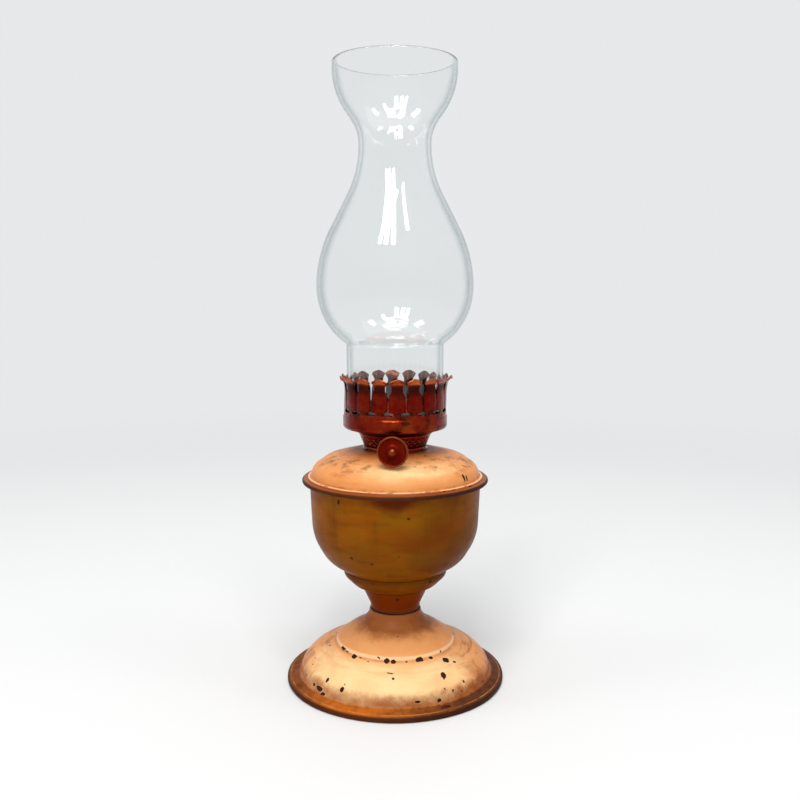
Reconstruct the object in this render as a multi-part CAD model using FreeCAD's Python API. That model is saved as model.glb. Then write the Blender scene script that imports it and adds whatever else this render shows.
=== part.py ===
"""Flat-wick kerosene table lamp: pressed-tin foot and font, brass burner, pronged gallery, glass chimney.

Every pressing is spun about the lamp's axis. Its outline is a list of (radius, height, corner radius) along
the outer face of the sheet, and shell() gives it its thickness. Millimetres; +Z up; the origin is the centre
of the foot's underside. The thumb wheel is on the -Y side.
"""
import FreeCAD, Part
import math
import os

Vector = FreeCAD.Vector
ORIGIN = Vector(0, 0, 0)
UP = Vector(0, 0, 1)
AXIS_X = Vector(1, 0, 0)
AXIS_Y = Vector(0, 1, 0)
FRONT = -90.0              # bearing of the -Y side, in degrees from +X

# ---- sheet and wall thicknesses ------------------------------------------------------------------
FOOT_SHEET = 0.6
FONT_SHEET = 0.5
BURNER_SHEET = 0.5
BASKET_SHEET = 0.4
GLASS_WALL = 1.4

# ---- clearances ----------------------------------------------------------------------------------
SEAT_GAP = 0.05            # soldered and pushed-in fits
FOLD_GAP = 0.1             # between the leaves of a folded seam
SCREW_GAP = 0.1            # burner's screw in the font's collar
RUN_GAP = 0.1              # spindle in its bearings
WICK_GAP = 0.35            # wick in its tube
BITE_GAP = 0.25            # star wheel's tips to the wick
GLASS_GAP = 0.3            # prongs to the chimney

# ---- foot ----------------------------------------------------------------------------------------
FOOT_RADIUS = 45.8         # over the rolled rim
RIM_HEIGHT = 2.2
RIM_ROLL = 1.05            # outside radius of the roll
RIM_WIDTH = 5.6            # from the roll in to the dome
RIM_SLOPE = 1.6            # the rim's rise towards the dome
HEM_WIDTH = 3.4            # the roll's return underneath
STEP_RADIUS = 25.2         # where the foot's middle rises from its dome
STEP_HEIGHT = 15.9
STEP_RISE = 2.0
STEP_WIDTH = 0.9
FOOT_NECK_RADIUS = 10.8
FOOT_NECK_TOP = 29.6

# ---- ferrule and stem cup ------------------------------------------------------------------------
NECK_SHADOW = 1.3          # open joint between foot and stem cup, where the ferrule shows
FERRULE_WALL = 0.7
FERRULE_REACH = 4.6        # into the foot's neck and into the cup
CUP_NECK_RADIUS = 10.4
CUP_NECK_LENGTH = 1.2
CUP_RIM_RADIUS = 21.6

# ---- font ----------------------------------------------------------------------------------------
BOWL_FLOOR_RADIUS = 17.0
BOWL_FLOOR_HEIGHT = 44.6
BOWL_RADIUS = 35.5
BOWL_TOP = 85.2            # underside of the bowl's flange
FLANGE_WIDTH = 2.1
SEAM_WIDTH = 3.1           # from the bowl's wall out to the edge of the seam
SEAM_LAP = 1.6             # the top's return under the flange
SEAM_ROLL = 0.75
CHANNEL_WIDTH = 1.8        # flat of the seam, from its edge in to the bead
BEAD_WIDTH = 0.9
BEAD_RISE = 1.1
TOP_HEIGHT = 98.2          # flat of the domed top, under the collar
TOP_FLAT_RADIUS = 16.0
COLLAR_BORE = 11.3
COLLAR_WALL = 0.8
COLLAR_DEPTH = 6.9
COLLAR_FLANGE_RADIUS = 13.5
COLLAR_RIM = 1.1           # stands above the domed top

# ---- burner --------------------------------------------------------------------------------------
SCREW_LENGTH = 6.0
SHOULDER_RADIUS = 13.2
FLOOR_DROP = 1.3           # burner's floor disc below the collar's rim
BASKET_FOOT_RADIUS = 12.9
BASKET_TOP_RADIUS = 15.5
BASKET_HEIGHT = 5.2
BASKET_FLANGE = 1.3        # turned in at the top, under the gallery's plate
BASKET_ROWS = 3
BASKET_HOLES = 32          # in each row
BASKET_HOLE = 0.95         # side of a diamond hole
SHEET_BEND = 0.6           # outside radius of the small bends
PLATE_BORE = 12.9
SEAT_RISE = 2.1            # chimney's seat above the gallery's inner plate
BAND_RADIUS = 21.5
BAND_HEIGHT = 5.0
BAND_ROLL = 1.4
DOT_RADIUS = 0.45
AIR_HOLES = 24
AIR_HOLE_RADIUS = 0.75
PRONGS = 18
PRONG_TURN = -8.2          # degrees, from the front to the nearest prong
PRONG_ROOT = 8.0           # prongs' roots above the chimney's seat
PRONG_LENGTH = 13.0
PRONG_WALL_RADIUS = 21.1
PRONG_FLARE = 1.8
SLIT_WIDTH = 0.5
ROOT_SLOT_WIDTH = 4.6
ROOT_SLOT_HEIGHT = 1.2
NECK_GAP_WIDTH = 2.5       # between two prongs at their necks
HEAD_GAP_WIDTH = 0.9       # between two prongs at their heads
CONE_RADIUS = 14.4
CONE_HEIGHT = 14.0
CONE_FLANGE = 0.9
CONE_SHOULDER_DROP = 5.5
CONE_CROWN_RADIUS = 9.0
CONE_SLOT_LENGTH = 18.8
CONE_SLOT_WIDTH = 5.4

# ---- wick and its raiser -------------------------------------------------------------------------
WICK_WIDTH = 16.3
WICK_THICKNESS = 2.0
WICK_LENGTH = 59.0
WICK_STANDS = 0.8          # above the wick tube's mouth
TUBE_WALL = 0.45
TUBE_LENGTH = 24.2
TUBE_DROP = 7.6            # below the burner's floor
SPINDLE_RADIUS = 0.8
SPINDLE_RISE = 3.8         # axis above the burner's floor
SPINDLE_TAIL = 1.2         # beyond the housing at the back
SPINDLE_TIP = 2.3          # beyond the thumb wheel at the front
PEEN_RADIUS = 1.1
STAR_RADIUS = 2.6
STAR_ROOT = 1.75
STAR_TEETH = 10
STAR_WIDTH = 1.0
STAR_SPREAD = 4.5          # each star wheel from the middle of the wick
HOUSING_HALF = 6.4
HOUSING_GAP = 0.4          # star wheel's tips to the housing
WINDOW_GAP = 0.3           # star wheel to the tube's window
SLEEVE_WALL = 0.45
SLEEVE_PROUD = 2.7         # beyond the basket's wall
WHEEL_RADIUS = 6.15
WHEEL_CLEARANCE = 1.6      # thumb wheel to the font's top
WHEEL_SHEET = 0.6
WHEEL_RIM = 1.7
WHEEL_DISH = 0.5
WHEEL_DISH_RADIUS = 3.2
WHEEL_GROOVES = 40
GROOVE_RADIUS = 0.22
BOSS_RADIUS = 1.3
BOSS_LENGTH = 3.6
BOSS_PROUD = 0.9           # in front of the dished middle
VENT_BORE = 0.75
VENT_WALL = 0.4
VENT_OFFSET = -5.6
VENT_HEIGHT = 5.5
VENT_DROP = 1.4

# ---- chimney -------------------------------------------------------------------------------------
FITTER_RADIUS = 19.9
FITTER_LENGTH = 34.0
BULB_RADIUS = 31.9
BULB_HEIGHT = 58.0         # widest point above the seat
WAIST_RADIUS = 14.6
WAIST_HEIGHT = 111.4       # narrowest point above the seat
MOUTH_RADIUS = 25.0
CHIMNEY_HEIGHT = 145.7

# ---- places that follow --------------------------------------------------------------------------
CUP_FOOT = FOOT_NECK_TOP + NECK_SHADOW
SEAM_RADIUS = BOWL_RADIUS + SEAM_WIDTH
SEAM_FOOT = BOWL_TOP - FOLD_GAP - FONT_SHEET
SEAM_TOP = BOWL_TOP + 2 * FONT_SHEET + FOLD_GAP
COLLAR_TOP = TOP_HEIGHT + COLLAR_RIM
SCREW_RADIUS = COLLAR_BORE - SCREW_GAP
SCREW_BORE = SCREW_RADIUS - BURNER_SHEET
BURNER_FLOOR = COLLAR_TOP - FLOOR_DROP
BASKET_FOOT = COLLAR_TOP + BURNER_SHEET
PLATE = BASKET_FOOT + BASKET_HEIGHT              # underside of the gallery's inner plate
SEAT_UNDERSIDE = PLATE + SEAT_RISE
SEAT = SEAT_UNDERSIDE + BURNER_SHEET
ROOT = SEAT + PRONG_ROOT
TUBE_BORE_LENGTH = WICK_WIDTH + 2 * WICK_GAP
TUBE_BORE_WIDTH = WICK_THICKNESS + 2 * WICK_GAP
TUBE_FOOT = BURNER_FLOOR - TUBE_DROP
TUBE_TOP = TUBE_FOOT + TUBE_LENGTH
SPINDLE_X = WICK_THICKNESS / 2 + BITE_GAP + STAR_RADIUS
SPINDLE_Z = BURNER_FLOOR + SPINDLE_RISE
BEARING = SPINDLE_RADIUS + RUN_GAP
SLEEVE_RADIUS = BEARING + SLEEVE_WALL
SLEEVE_END = -BASKET_FOOT_RADIUS - SLEEVE_PROUD


# ---- building blocks -----------------------------------------------------------------------------
def between(start, end, across, up, corner):
    """An outline's point at a share of the way across and a share of the way up from start to end."""
    return (start[0] + (end[0] - start[0]) * across, start[1] + (end[1] - start[1]) * up, corner)


def line(start, end):
    return Part.LineSegment(start, end).toShape()


def arc(start, middle, end):
    return Part.Arc(start, middle, end).toShape()


def corner_reaches(ends, corners):
    """How far each corner's arc reaches along its two runs, shared out where a run is too short for both."""
    reaches = [0.0] * len(ends)
    for k in range(1, len(ends) - 1):
        half = (ends[k - 1] - ends[k]).getAngle(ends[k + 1] - ends[k]) / 2
        reaches[k] = corners[k] / math.tan(half) if half < math.pi / 2 - 1e-6 else 0.0
    shares = [1.0] * len(ends)
    for k in range(len(ends) - 1):
        wanted = reaches[k] + reaches[k + 1]
        if wanted > 0:
            share = 0.999 * (ends[k + 1] - ends[k]).Length / wanted
            shares[k] = min(shares[k], share)
            shares[k + 1] = min(shares[k + 1], share)
    return [reach * share for reach, share in zip(reaches, shares)]


def path_edges(outline):
    """Edges through the outline's points, with each corner rounded to its own radius."""
    ends = [Vector(r, 0, z) for r, z, _ in outline]
    reaches = corner_reaches(ends, [corner for _, _, corner in outline])
    edges = []
    start = ends[0]
    for k in range(1, len(ends) - 1):
        back = (ends[k - 1] - ends[k]).normalize()
        ahead = (ends[k + 1] - ends[k]).normalize()
        half = back.getAngle(ahead) / 2
        enter, leave = ends[k] + back * reaches[k], ends[k] + ahead * reaches[k]
        edges.append(line(start, enter))
        if reaches[k] > 0:
            depth = reaches[k] * (1 - math.sin(half)) / math.cos(half)
            edges.append(arc(enter, ends[k] + (back + ahead).normalize() * depth, leave))
        start = leave
    edges.append(line(start, ends[-1]))
    return edges


def inset(outline, wall):
    """The outline moved by wall to its left, as seen along it, so the sheet is equally thick all over."""
    ends = [Vector(r, 0, z) for r, z, _ in outline]
    ways = [(b - a).normalize() for a, b in zip(ends, ends[1:])]
    lefts = [Vector(-way.z, 0, way.x) for way in ways]
    moved = [(ends[0] + lefts[0] * wall, 0)]
    for k in range(1, len(ends) - 1):
        turn = ways[k - 1].x * ways[k].z - ways[k - 1].z * ways[k].x
        mitre = (lefts[k - 1] + lefts[k]) * (wall / (1 + lefts[k - 1].dot(lefts[k])))
        moved.append((ends[k] + mitre, max(outline[k][2] + math.copysign(wall, -turn), 0)))
    moved.append((ends[-1] + lefts[-1] * wall, 0))
    return [(p.x, p.z, corner) for p, corner in moved]


def shell(outline, wall, rounded_end=False):
    """A spun sheet whose outer face is the outline; the metal lies to the left of it."""
    inner = inset(outline, wall)
    first, last, inner_first, inner_last = [Vector(p[0], 0, p[1]) for p in
                                            (outline[0], outline[-1], inner[0], inner[-1])]
    edges = path_edges(outline) + path_edges(inner) + [line(first, inner_first)]
    if rounded_end:
        way = (last - Vector(outline[-2][0], 0, outline[-2][1])).normalize()
        edges.append(arc(last, (last + inner_last) * 0.5 + way * (wall / 2), inner_last))
    else:
        edges.append(line(last, inner_last))
    face = Part.Face(Part.Wire(Part.__sortEdges__(edges)))
    return face.revolve(ORIGIN, UP, 360)


def ring(inner_radius, outer_radius, bottom, top):
    """A plain washer or tube on the lamp's axis."""
    outer = Part.makeCylinder(outer_radius, top - bottom, Vector(0, 0, bottom))
    return outer.cut(Part.makeCylinder(inner_radius, top - bottom, Vector(0, 0, bottom)))


def bar(length, width, bottom, top):
    """An upright bar with round ends, its length along Y and its width along X."""
    radius = width / 2
    reach = length / 2 - radius
    right_front, right_back = Vector(radius, -reach, bottom), Vector(radius, reach, bottom)
    left_front, left_back = Vector(-radius, -reach, bottom), Vector(-radius, reach, bottom)
    edges = [
        line(right_front, right_back),
        arc(right_back, Vector(0, length / 2, bottom), left_back),
        line(left_back, left_front),
        arc(left_front, Vector(0, -length / 2, bottom), right_front),
    ]
    return Part.Face(Part.Wire(edges)).extrude(UP * (top - bottom))


def rod(radius, start, end):
    """A round bar on the spindle's axis, from y = start to y = end."""
    return Part.makeCylinder(radius, end - start, Vector(SPINDLE_X, start, SPINDLE_Z), AXIS_Y)


def around(tool, count, first=0.0):
    """Copies of a tool, evenly spaced about the lamp's axis, the first turned by first degrees."""
    copies = []
    for k in range(count):
        copy = tool.copy()
        copy.rotate(ORIGIN, UP, first + 360.0 * k / count)
        copies.append(copy)
    return copies


# ---- foot, stem and font -------------------------------------------------------------------------
def foot():
    dome = (FOOT_RADIUS - RIM_WIDTH, RIM_HEIGHT + RIM_SLOPE, 1.2)
    step = (STEP_RADIUS, STEP_HEIGHT, 0.7)
    crest = (STEP_RADIUS - STEP_WIDTH, STEP_HEIGHT + STEP_RISE, 1.3)
    neck = (FOOT_NECK_RADIUS, FOOT_NECK_TOP, 0)
    return shell([
        (FOOT_RADIUS - HEM_WIDTH, 0, 0),
        (FOOT_RADIUS, 0, RIM_ROLL),
        (FOOT_RADIUS, RIM_HEIGHT, RIM_ROLL),
        dome,
        between(dome, step, 0.065, 0.31, 6.0),
        between(dome, step, 0.36, 0.71, 12.0),
        step,
        crest,
        between(crest, neck, 0.40, 0.33, 14.0),
        between(crest, neck, 0.79, 0.57, 3.5),
        between(crest, neck, 0.97, 0.83, 4.0),
        neck,
    ], FOOT_SHEET)


def neck_ferrule():
    """A stepped sleeve soldered into the foot's neck below and into the stem cup above."""
    joint = FOOT_NECK_TOP
    lower_radius = FOOT_NECK_RADIUS - FOOT_SHEET - SEAT_GAP
    upper_radius = CUP_NECK_RADIUS - FONT_SHEET - SEAT_GAP
    bore = upper_radius - FERRULE_WALL
    lower = ring(bore, lower_radius, joint - FERRULE_REACH, joint)
    return lower.fuse(ring(bore, upper_radius, joint, CUP_FOOT + CUP_NECK_LENGTH)).removeSplitter()


def bowl_outline():
    floor = (BOWL_FLOOR_RADIUS, BOWL_FLOOR_HEIGHT, 2.0)
    top = (BOWL_RADIUS, BOWL_TOP, 0.7)
    return [
        (0, BOWL_FLOOR_HEIGHT, 0),
        floor,
        between(floor, top, 0.63, 0.19, 14.0),
        between(floor, top, 0.943, 0.43, 22.0),
        top,
        (BOWL_RADIUS + FLANGE_WIDTH, BOWL_TOP, 0),
    ]


def font_bowl():
    return shell(bowl_outline(), FONT_SHEET)


def stem_cup():
    """The cup that carries the bowl: its rim meets the bowl's cone all round."""
    floor, hip = bowl_outline()[1:3]
    inside = CUP_RIM_RADIUS - FONT_SHEET - SEAT_GAP
    rim_height = floor[1] + (inside - floor[0]) * (hip[1] - floor[1]) / (hip[0] - floor[0])
    neck = (CUP_NECK_RADIUS, CUP_FOOT, 0)
    rim = (CUP_RIM_RADIUS, rim_height, 0)
    return shell([
        neck,
        (CUP_NECK_RADIUS, CUP_FOOT + CUP_NECK_LENGTH, 1.5),
        between(neck, rim, 0.315, 0.534, 0.8),
        between(neck, rim, 0.63, 0.628, 3.0),
        between(neck, rim, 1.0, 0.88, 2.5),
        rim,
    ], FONT_SHEET)


def font_top_outline():
    bead_foot = SEAM_RADIUS - CHANNEL_WIDTH
    dome = (bead_foot - 2 * BEAD_WIDTH, SEAM_TOP + 0.6, 0.5)
    flat = (TOP_FLAT_RADIUS, TOP_HEIGHT, 12.0)
    return [
        (SEAM_RADIUS - SEAM_LAP, SEAM_FOOT, 0),
        (SEAM_RADIUS, SEAM_FOOT, SEAM_ROLL),
        (SEAM_RADIUS, SEAM_TOP, SEAM_ROLL),
        (bead_foot, SEAM_TOP, SHEET_BEND),
        (bead_foot - BEAD_WIDTH, SEAM_TOP + BEAD_RISE, 0.55),
        dome,
        between(dome, flat, 0.04, 0.36, 5.0),
        between(dome, flat, 0.36, 0.73, 9.0),
        flat,
        (COLLAR_BORE + COLLAR_WALL + SEAT_GAP, TOP_HEIGHT, 0),
    ]


def font_top():
    return shell(font_top_outline(), FONT_SHEET)


def font_collar():
    tube = ring(COLLAR_BORE, COLLAR_BORE + COLLAR_WALL, COLLAR_TOP - COLLAR_DEPTH, COLLAR_TOP)
    flange = ring(COLLAR_BORE, COLLAR_FLANGE_RADIUS, TOP_HEIGHT, TOP_HEIGHT + FONT_SHEET)
    return tube.fuse(flange).removeSplitter()


# ---- burner --------------------------------------------------------------------------------------
def burner_base():
    screw = ring(SCREW_BORE, SCREW_RADIUS, COLLAR_TOP - SCREW_LENGTH, BASKET_FOOT)
    return screw.fuse(ring(SCREW_BORE, SHOULDER_RADIUS, COLLAR_TOP, BASKET_FOOT)).removeSplitter()


def burner_floor():
    bottom = BURNER_FLOOR - BASKET_SHEET
    disc = Part.makeCylinder(SCREW_BORE - SEAT_GAP, BASKET_SHEET, Vector(0, 0, bottom))
    margin = 2 * (TUBE_WALL + SEAT_GAP)
    slot = bar(TUBE_BORE_LENGTH + margin, TUBE_BORE_WIDTH + margin, bottom, BURNER_FLOOR)
    vent = Part.makeCylinder(VENT_BORE + VENT_WALL + SEAT_GAP, BASKET_SHEET, Vector(VENT_OFFSET, 0, bottom))
    return disc.cut([slot, vent])


def basket_holes():
    """Rows of diamond holes, each row half a pitch from the next."""
    tools = []
    reach = BASKET_TOP_RADIUS - SCREW_RADIUS
    corner = Vector(SCREW_RADIUS, -BASKET_HOLE / 2, -BASKET_HOLE / 2)
    for row in range(BASKET_ROWS):
        hole = Part.makeBox(reach + 1, BASKET_HOLE, BASKET_HOLE, corner)
        hole.rotate(ORIGIN, AXIS_X, 45)
        hole.translate(UP * (BASKET_FOOT + BASKET_HEIGHT * (row + 1) / (BASKET_ROWS + 1)))
        tools += around(hole, BASKET_HOLES, (row % 2) * 180.0 / BASKET_HOLES)
    return tools


def air_basket():
    basket = shell([
        (SCREW_BORE, BASKET_FOOT, 0),
        (BASKET_FOOT_RADIUS, BASKET_FOOT, SHEET_BEND),
        (BASKET_TOP_RADIUS, PLATE, SHEET_BEND),
        (BASKET_TOP_RADIUS - BASKET_FLANGE, PLATE, 0),
    ], BASKET_SHEET)
    sleeve = rod(SLEEVE_RADIUS + SEAT_GAP, SLEEVE_END, -SCREW_RADIUS)
    holes = [hole for hole in basket_holes() if hole.distToShape(sleeve)[0] > BASKET_SHEET]
    return basket.cut(holes + [sleeve])


def prong_gap():
    """The opening between two prongs: a root slot, a slit, and a drop that narrows at the heads."""
    slit_top = ROOT + 0.42 * PRONG_LENGTH
    neck = ROOT + 0.74 * PRONG_LENGTH
    head = ROOT + 0.91 * PRONG_LENGTH
    tip = ROOT + PRONG_LENGTH
    tip_half = HEAD_GAP_WIDTH / 2 + 2.0
    edges = [line(Vector(0, -ROOT_SLOT_WIDTH / 2, ROOT - ROOT_SLOT_HEIGHT),
                  Vector(0, ROOT_SLOT_WIDTH / 2, ROOT - ROOT_SLOT_HEIGHT)),
             line(Vector(0, -tip_half, tip + 1), Vector(0, tip_half, tip + 1))]
    for side in (-1, 1):
        slot_side = side * ROOT_SLOT_WIDTH / 2
        slot_low, slot_high = Vector(0, slot_side, ROOT - ROOT_SLOT_HEIGHT), Vector(0, slot_side, ROOT)
        slit_low, slit_high = [Vector(0, side * SLIT_WIDTH / 2, z) for z in (ROOT, slit_top)]
        neck_side = Vector(0, side * NECK_GAP_WIDTH / 2, neck)
        head_side = Vector(0, side * HEAD_GAP_WIDTH / 2, head)
        tip_side = Vector(0, side * tip_half, tip + 0.4)
        waist = Vector(0, side * (0.75 * NECK_GAP_WIDTH / 2), 0.35 * slit_top + 0.65 * neck)
        cheek = Vector(0, side * (0.9 * NECK_GAP_WIDTH / 2), (neck + head) / 2)
        temple = Vector(0, side * (HEAD_GAP_WIDTH / 2 + 0.5), (head + tip) / 2 + 0.3)
        edges += [line(slot_low, slot_high), line(slot_high, slit_low), line(slit_low, slit_high),
                  arc(slit_high, waist, neck_side), arc(neck_side, cheek, head_side),
                  arc(head_side, temple, tip_side), line(tip_side, Vector(0, side * tip_half, tip + 1))]
    face = Part.Face(Part.Wire(Part.__sortEdges__(edges)))
    face.translate(AXIS_X * (FITTER_RADIUS - GLASS_WALL))
    return face.extrude(AXIS_X * (BAND_RADIUS - FITTER_RADIUS + GLASS_WALL + PRONG_FLARE + 1))


def gallery_crown():
    grip = FITTER_RADIUS + GLASS_GAP + BURNER_SHEET
    crown = shell([
        (PLATE_BORE, PLATE, 0),
        (BASKET_TOP_RADIUS + 0.2, PLATE, SHEET_BEND),
        (FITTER_RADIUS - GLASS_WALL - 0.1, SEAT_UNDERSIDE, 0.8),
        (BAND_RADIUS, SEAT_UNDERSIDE, BAND_ROLL),
        (BAND_RADIUS, SEAT_UNDERSIDE + BAND_HEIGHT, SHEET_BEND),
        (PRONG_WALL_RADIUS, SEAT_UNDERSIDE + BAND_HEIGHT + 0.7, SHEET_BEND),
        (PRONG_WALL_RADIUS, ROOT + 0.24 * PRONG_LENGTH, 6.0),
        (grip, ROOT + 0.60 * PRONG_LENGTH, 5.0),
        (grip, ROOT + 0.78 * PRONG_LENGTH, 2.0),
        (grip + PRONG_FLARE, ROOT + PRONG_LENGTH, 0),
    ], BURNER_SHEET)
    half_pitch = 180.0 / PRONGS
    gaps = around(prong_gap(), PRONGS, FRONT + PRONG_TURN + half_pitch)
    dot_place = Vector(FITTER_RADIUS, 0, SEAT_UNDERSIDE + BAND_HEIGHT + 1.5)
    dot = Part.makeCylinder(DOT_RADIUS, BAND_RADIUS - FITTER_RADIUS + 1, dot_place, AXIS_X)
    air_radius = (BASKET_TOP_RADIUS + FITTER_RADIUS - GLASS_WALL) / 2
    air = Part.makeCylinder(AIR_HOLE_RADIUS, SEAT_RISE + 2, Vector(air_radius, 0, PLATE - 1))
    dots = around(dot, 2 * PRONGS, FRONT + PRONG_TURN)
    return crown.cut(gaps + dots + around(air, AIR_HOLES))


def flame_cone():
    flange = PLATE + 2 * BURNER_SHEET
    top = PLATE + BURNER_SHEET + CONE_HEIGHT
    cone = shell([
        (CONE_RADIUS + CONE_FLANGE, flange, 0),
        (CONE_RADIUS, flange, SHEET_BEND),
        (CONE_RADIUS, top - CONE_SHOULDER_DROP, 6.0),
        (CONE_CROWN_RADIUS, top, 6.0),
        (0, top, 0),
    ], BURNER_SHEET)
    return cone.cut(bar(CONE_SLOT_LENGTH, CONE_SLOT_WIDTH, top - CONE_SHOULDER_DROP, top + 1))


# ---- wick and raiser -----------------------------------------------------------------------------
def wheel_front():
    """The thumb wheel's face along Y: its rim just clears the font's top, where that is widest beside it."""
    outline = font_top_outline()
    low = SPINDLE_Z - WHEEL_RADIUS
    reaches = [r for r, z, _ in outline if z >= low]
    for (start_r, start_z, _), (end_r, end_z, _) in zip(outline, outline[1:]):
        if min(start_z, end_z) < low < max(start_z, end_z):
            reaches.append(start_r + (end_r - start_r) * (low - start_z) / (end_z - start_z))
    return -(max(reaches) + WHEEL_CLEARANCE + WHEEL_RIM - WHEEL_DISH)


def wick():
    top = TUBE_TOP + WICK_STANDS
    return bar(WICK_WIDTH, WICK_THICKNESS, top - WICK_LENGTH, top)


def wick_tube():
    """The flat tube, with a window for each star wheel."""
    tube = bar(TUBE_BORE_LENGTH + 2 * TUBE_WALL, TUBE_BORE_WIDTH + 2 * TUBE_WALL, TUBE_FOOT, TUBE_TOP)
    tools = [bar(TUBE_BORE_LENGTH, TUBE_BORE_WIDTH, TUBE_FOOT, TUBE_TOP)]
    width = STAR_WIDTH + 2 * WINDOW_GAP
    half_height = STAR_RADIUS
    for side in (-1, 1):
        corner = Vector(0, side * STAR_SPREAD - width / 2, SPINDLE_Z - half_height)
        tools.append(Part.makeBox(TUBE_BORE_WIDTH, width, 2 * half_height, corner))
    return tube.cut(tools)


def housing_block(radius, half):
    """The cover's form: a half round about the spindle, carried straight to the wick tube's flat."""
    left = TUBE_BORE_WIDTH / 2 + TUBE_WALL
    low, high = SPINDLE_Z - radius, SPINDLE_Z + radius
    corners = [Vector(left, -half, low), Vector(SPINDLE_X, -half, low),
               Vector(SPINDLE_X, -half, high), Vector(left, -half, high)]
    edges = [
        line(corners[0], corners[1]),
        arc(corners[1], Vector(SPINDLE_X + radius, -half, SPINDLE_Z), corners[2]),
        line(corners[2], corners[3]),
        line(corners[3], corners[0]),
    ]
    return Part.Face(Part.Wire(edges)).extrude(AXIS_Y * (2 * half))


def rack_housing():
    inside = STAR_RADIUS + HOUSING_GAP
    cover = housing_block(inside + BASKET_SHEET, HOUSING_HALF)
    hollow = housing_block(inside, HOUSING_HALF - BASKET_SHEET)
    return cover.cut([hollow, rod(BEARING, -HOUSING_HALF - 1, HOUSING_HALF + 1)])


def spindle_sleeve():
    return rod(SLEEVE_RADIUS, SLEEVE_END, -HOUSING_HALF).cut(rod(BEARING, SLEEVE_END, -HOUSING_HALF))


def vent_tube():
    base = Vector(VENT_OFFSET, 0, BURNER_FLOOR - VENT_DROP)
    length = VENT_HEIGHT + VENT_DROP
    outer = Part.makeCylinder(VENT_BORE + VENT_WALL, length, base)
    return outer.cut(Part.makeCylinder(VENT_BORE, length, base))


def turned(points):
    """Revolves (radius, y) points about the spindle's axis."""
    corners = [Vector(SPINDLE_X + r, y, SPINDLE_Z) for r, y in points]
    face = Part.Face(Part.makePolygon(corners + corners[:1]))
    return face.revolve(Vector(SPINDLE_X, 0, SPINDLE_Z), AXIS_Y, 360)


def spindle():
    """The shaft, with its front end spread like a rivet."""
    front = wheel_front() - SPINDLE_TIP
    back = HOUSING_HALF + SPINDLE_TAIL
    bevel = 0.2
    return turned([
        (0, front),
        (0.6 * PEEN_RADIUS, front),
        (PEEN_RADIUS, front + 0.4 * PEEN_RADIUS),
        (SPINDLE_RADIUS, front + 0.8 * PEEN_RADIUS),
        (SPINDLE_RADIUS, back - bevel),
        (SPINDLE_RADIUS - bevel, back),
        (0, back),
    ])


def star_wheel(side):
    """A toothed wheel that bites the wick, on the spindle at y = side x STAR_SPREAD."""
    corners = []
    for k in range(2 * STAR_TEETH):
        radius = STAR_RADIUS if k % 2 == 0 else STAR_ROOT
        angle = math.pi * k / STAR_TEETH
        corners.append(Vector(SPINDLE_X + radius * math.cos(angle), 0, SPINDLE_Z + radius * math.sin(angle)))
    face = Part.Face(Part.makePolygon(corners + corners[:1]))
    start = side * STAR_SPREAD - STAR_WIDTH / 2
    face.translate(AXIS_Y * start)
    wheel = face.extrude(AXIS_Y * STAR_WIDTH)
    return wheel.cut(rod(SPINDLE_RADIUS, start, start + STAR_WIDTH))


def thumb_wheel():
    """A dished disc with a turned-back rim, grooved for the thumb."""
    front = wheel_front()
    rear = front + WHEEL_SHEET
    sunk = front - WHEEL_DISH
    rim_rear = sunk + WHEEL_RIM
    bore = BOSS_RADIUS + SEAT_GAP
    dish_inside = WHEEL_DISH_RADIUS - 2 * WHEEL_DISH
    rim_inside = WHEEL_RADIUS - WHEEL_SHEET
    bevel = 0.2
    disc = turned([
        (bore, sunk),
        (dish_inside, sunk),
        (WHEEL_DISH_RADIUS, front),
        (rim_inside - WHEEL_DISH, front),
        (rim_inside, sunk),
        (WHEEL_RADIUS - bevel, sunk),
        (WHEEL_RADIUS, sunk + bevel),
        (WHEEL_RADIUS, rim_rear),
        (rim_inside, rim_rear),
        (rim_inside, rear),
        (WHEEL_DISH_RADIUS, rear),
        (dish_inside, rear - WHEEL_DISH),
        (bore, rear - WHEEL_DISH),
    ])
    grooves = []
    for k in range(WHEEL_GROOVES):
        angle = 2 * math.pi * k / WHEEL_GROOVES
        place = Vector(SPINDLE_X + WHEEL_RADIUS * math.cos(angle), sunk + bevel,
                       SPINDLE_Z + WHEEL_RADIUS * math.sin(angle))
        grooves.append(Part.makeCylinder(GROOVE_RADIUS, WHEEL_RIM, place, AXIS_Y))
    return disc.cut(grooves)


def wheel_boss():
    start = wheel_front() - WHEEL_DISH - BOSS_PROUD
    end = start + BOSS_LENGTH
    bevel = 0.3
    return turned([(SPINDLE_RADIUS, start), (BOSS_RADIUS - bevel, start), (BOSS_RADIUS, start + bevel),
                   (BOSS_RADIUS, end), (SPINDLE_RADIUS, end)])


# ---- chimney -------------------------------------------------------------------------------------
def chimney():
    """Blown glass: a straight fitter, a round bulb, a slender waist and a flared cup with a melted lip."""
    fitter = (FITTER_RADIUS, SEAT + FITTER_LENGTH, 1.8)
    bulb = (BULB_RADIUS, SEAT + BULB_HEIGHT)
    waist = (WAIST_RADIUS, SEAT + WAIST_HEIGHT)
    mouth = (MOUTH_RADIUS, SEAT + CHIMNEY_HEIGHT - GLASS_WALL / 2, 0)
    return shell([
        (FITTER_RADIUS, SEAT, 0),
        fitter,
        between(fitter, bulb, 1.0, 0.40, 29.0),
        between(bulb, waist, 0.0, 0.214, 54.0),
        between(bulb, waist, 1.0, 0.848, 42.0),
        between(waist, mouth, 0.0, 0.227, 16.0),
        between(waist, mouth, 1.0, 0.668, 28.0),
        mouth,
    ], GLASS_WALL, rounded_end=True)


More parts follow.
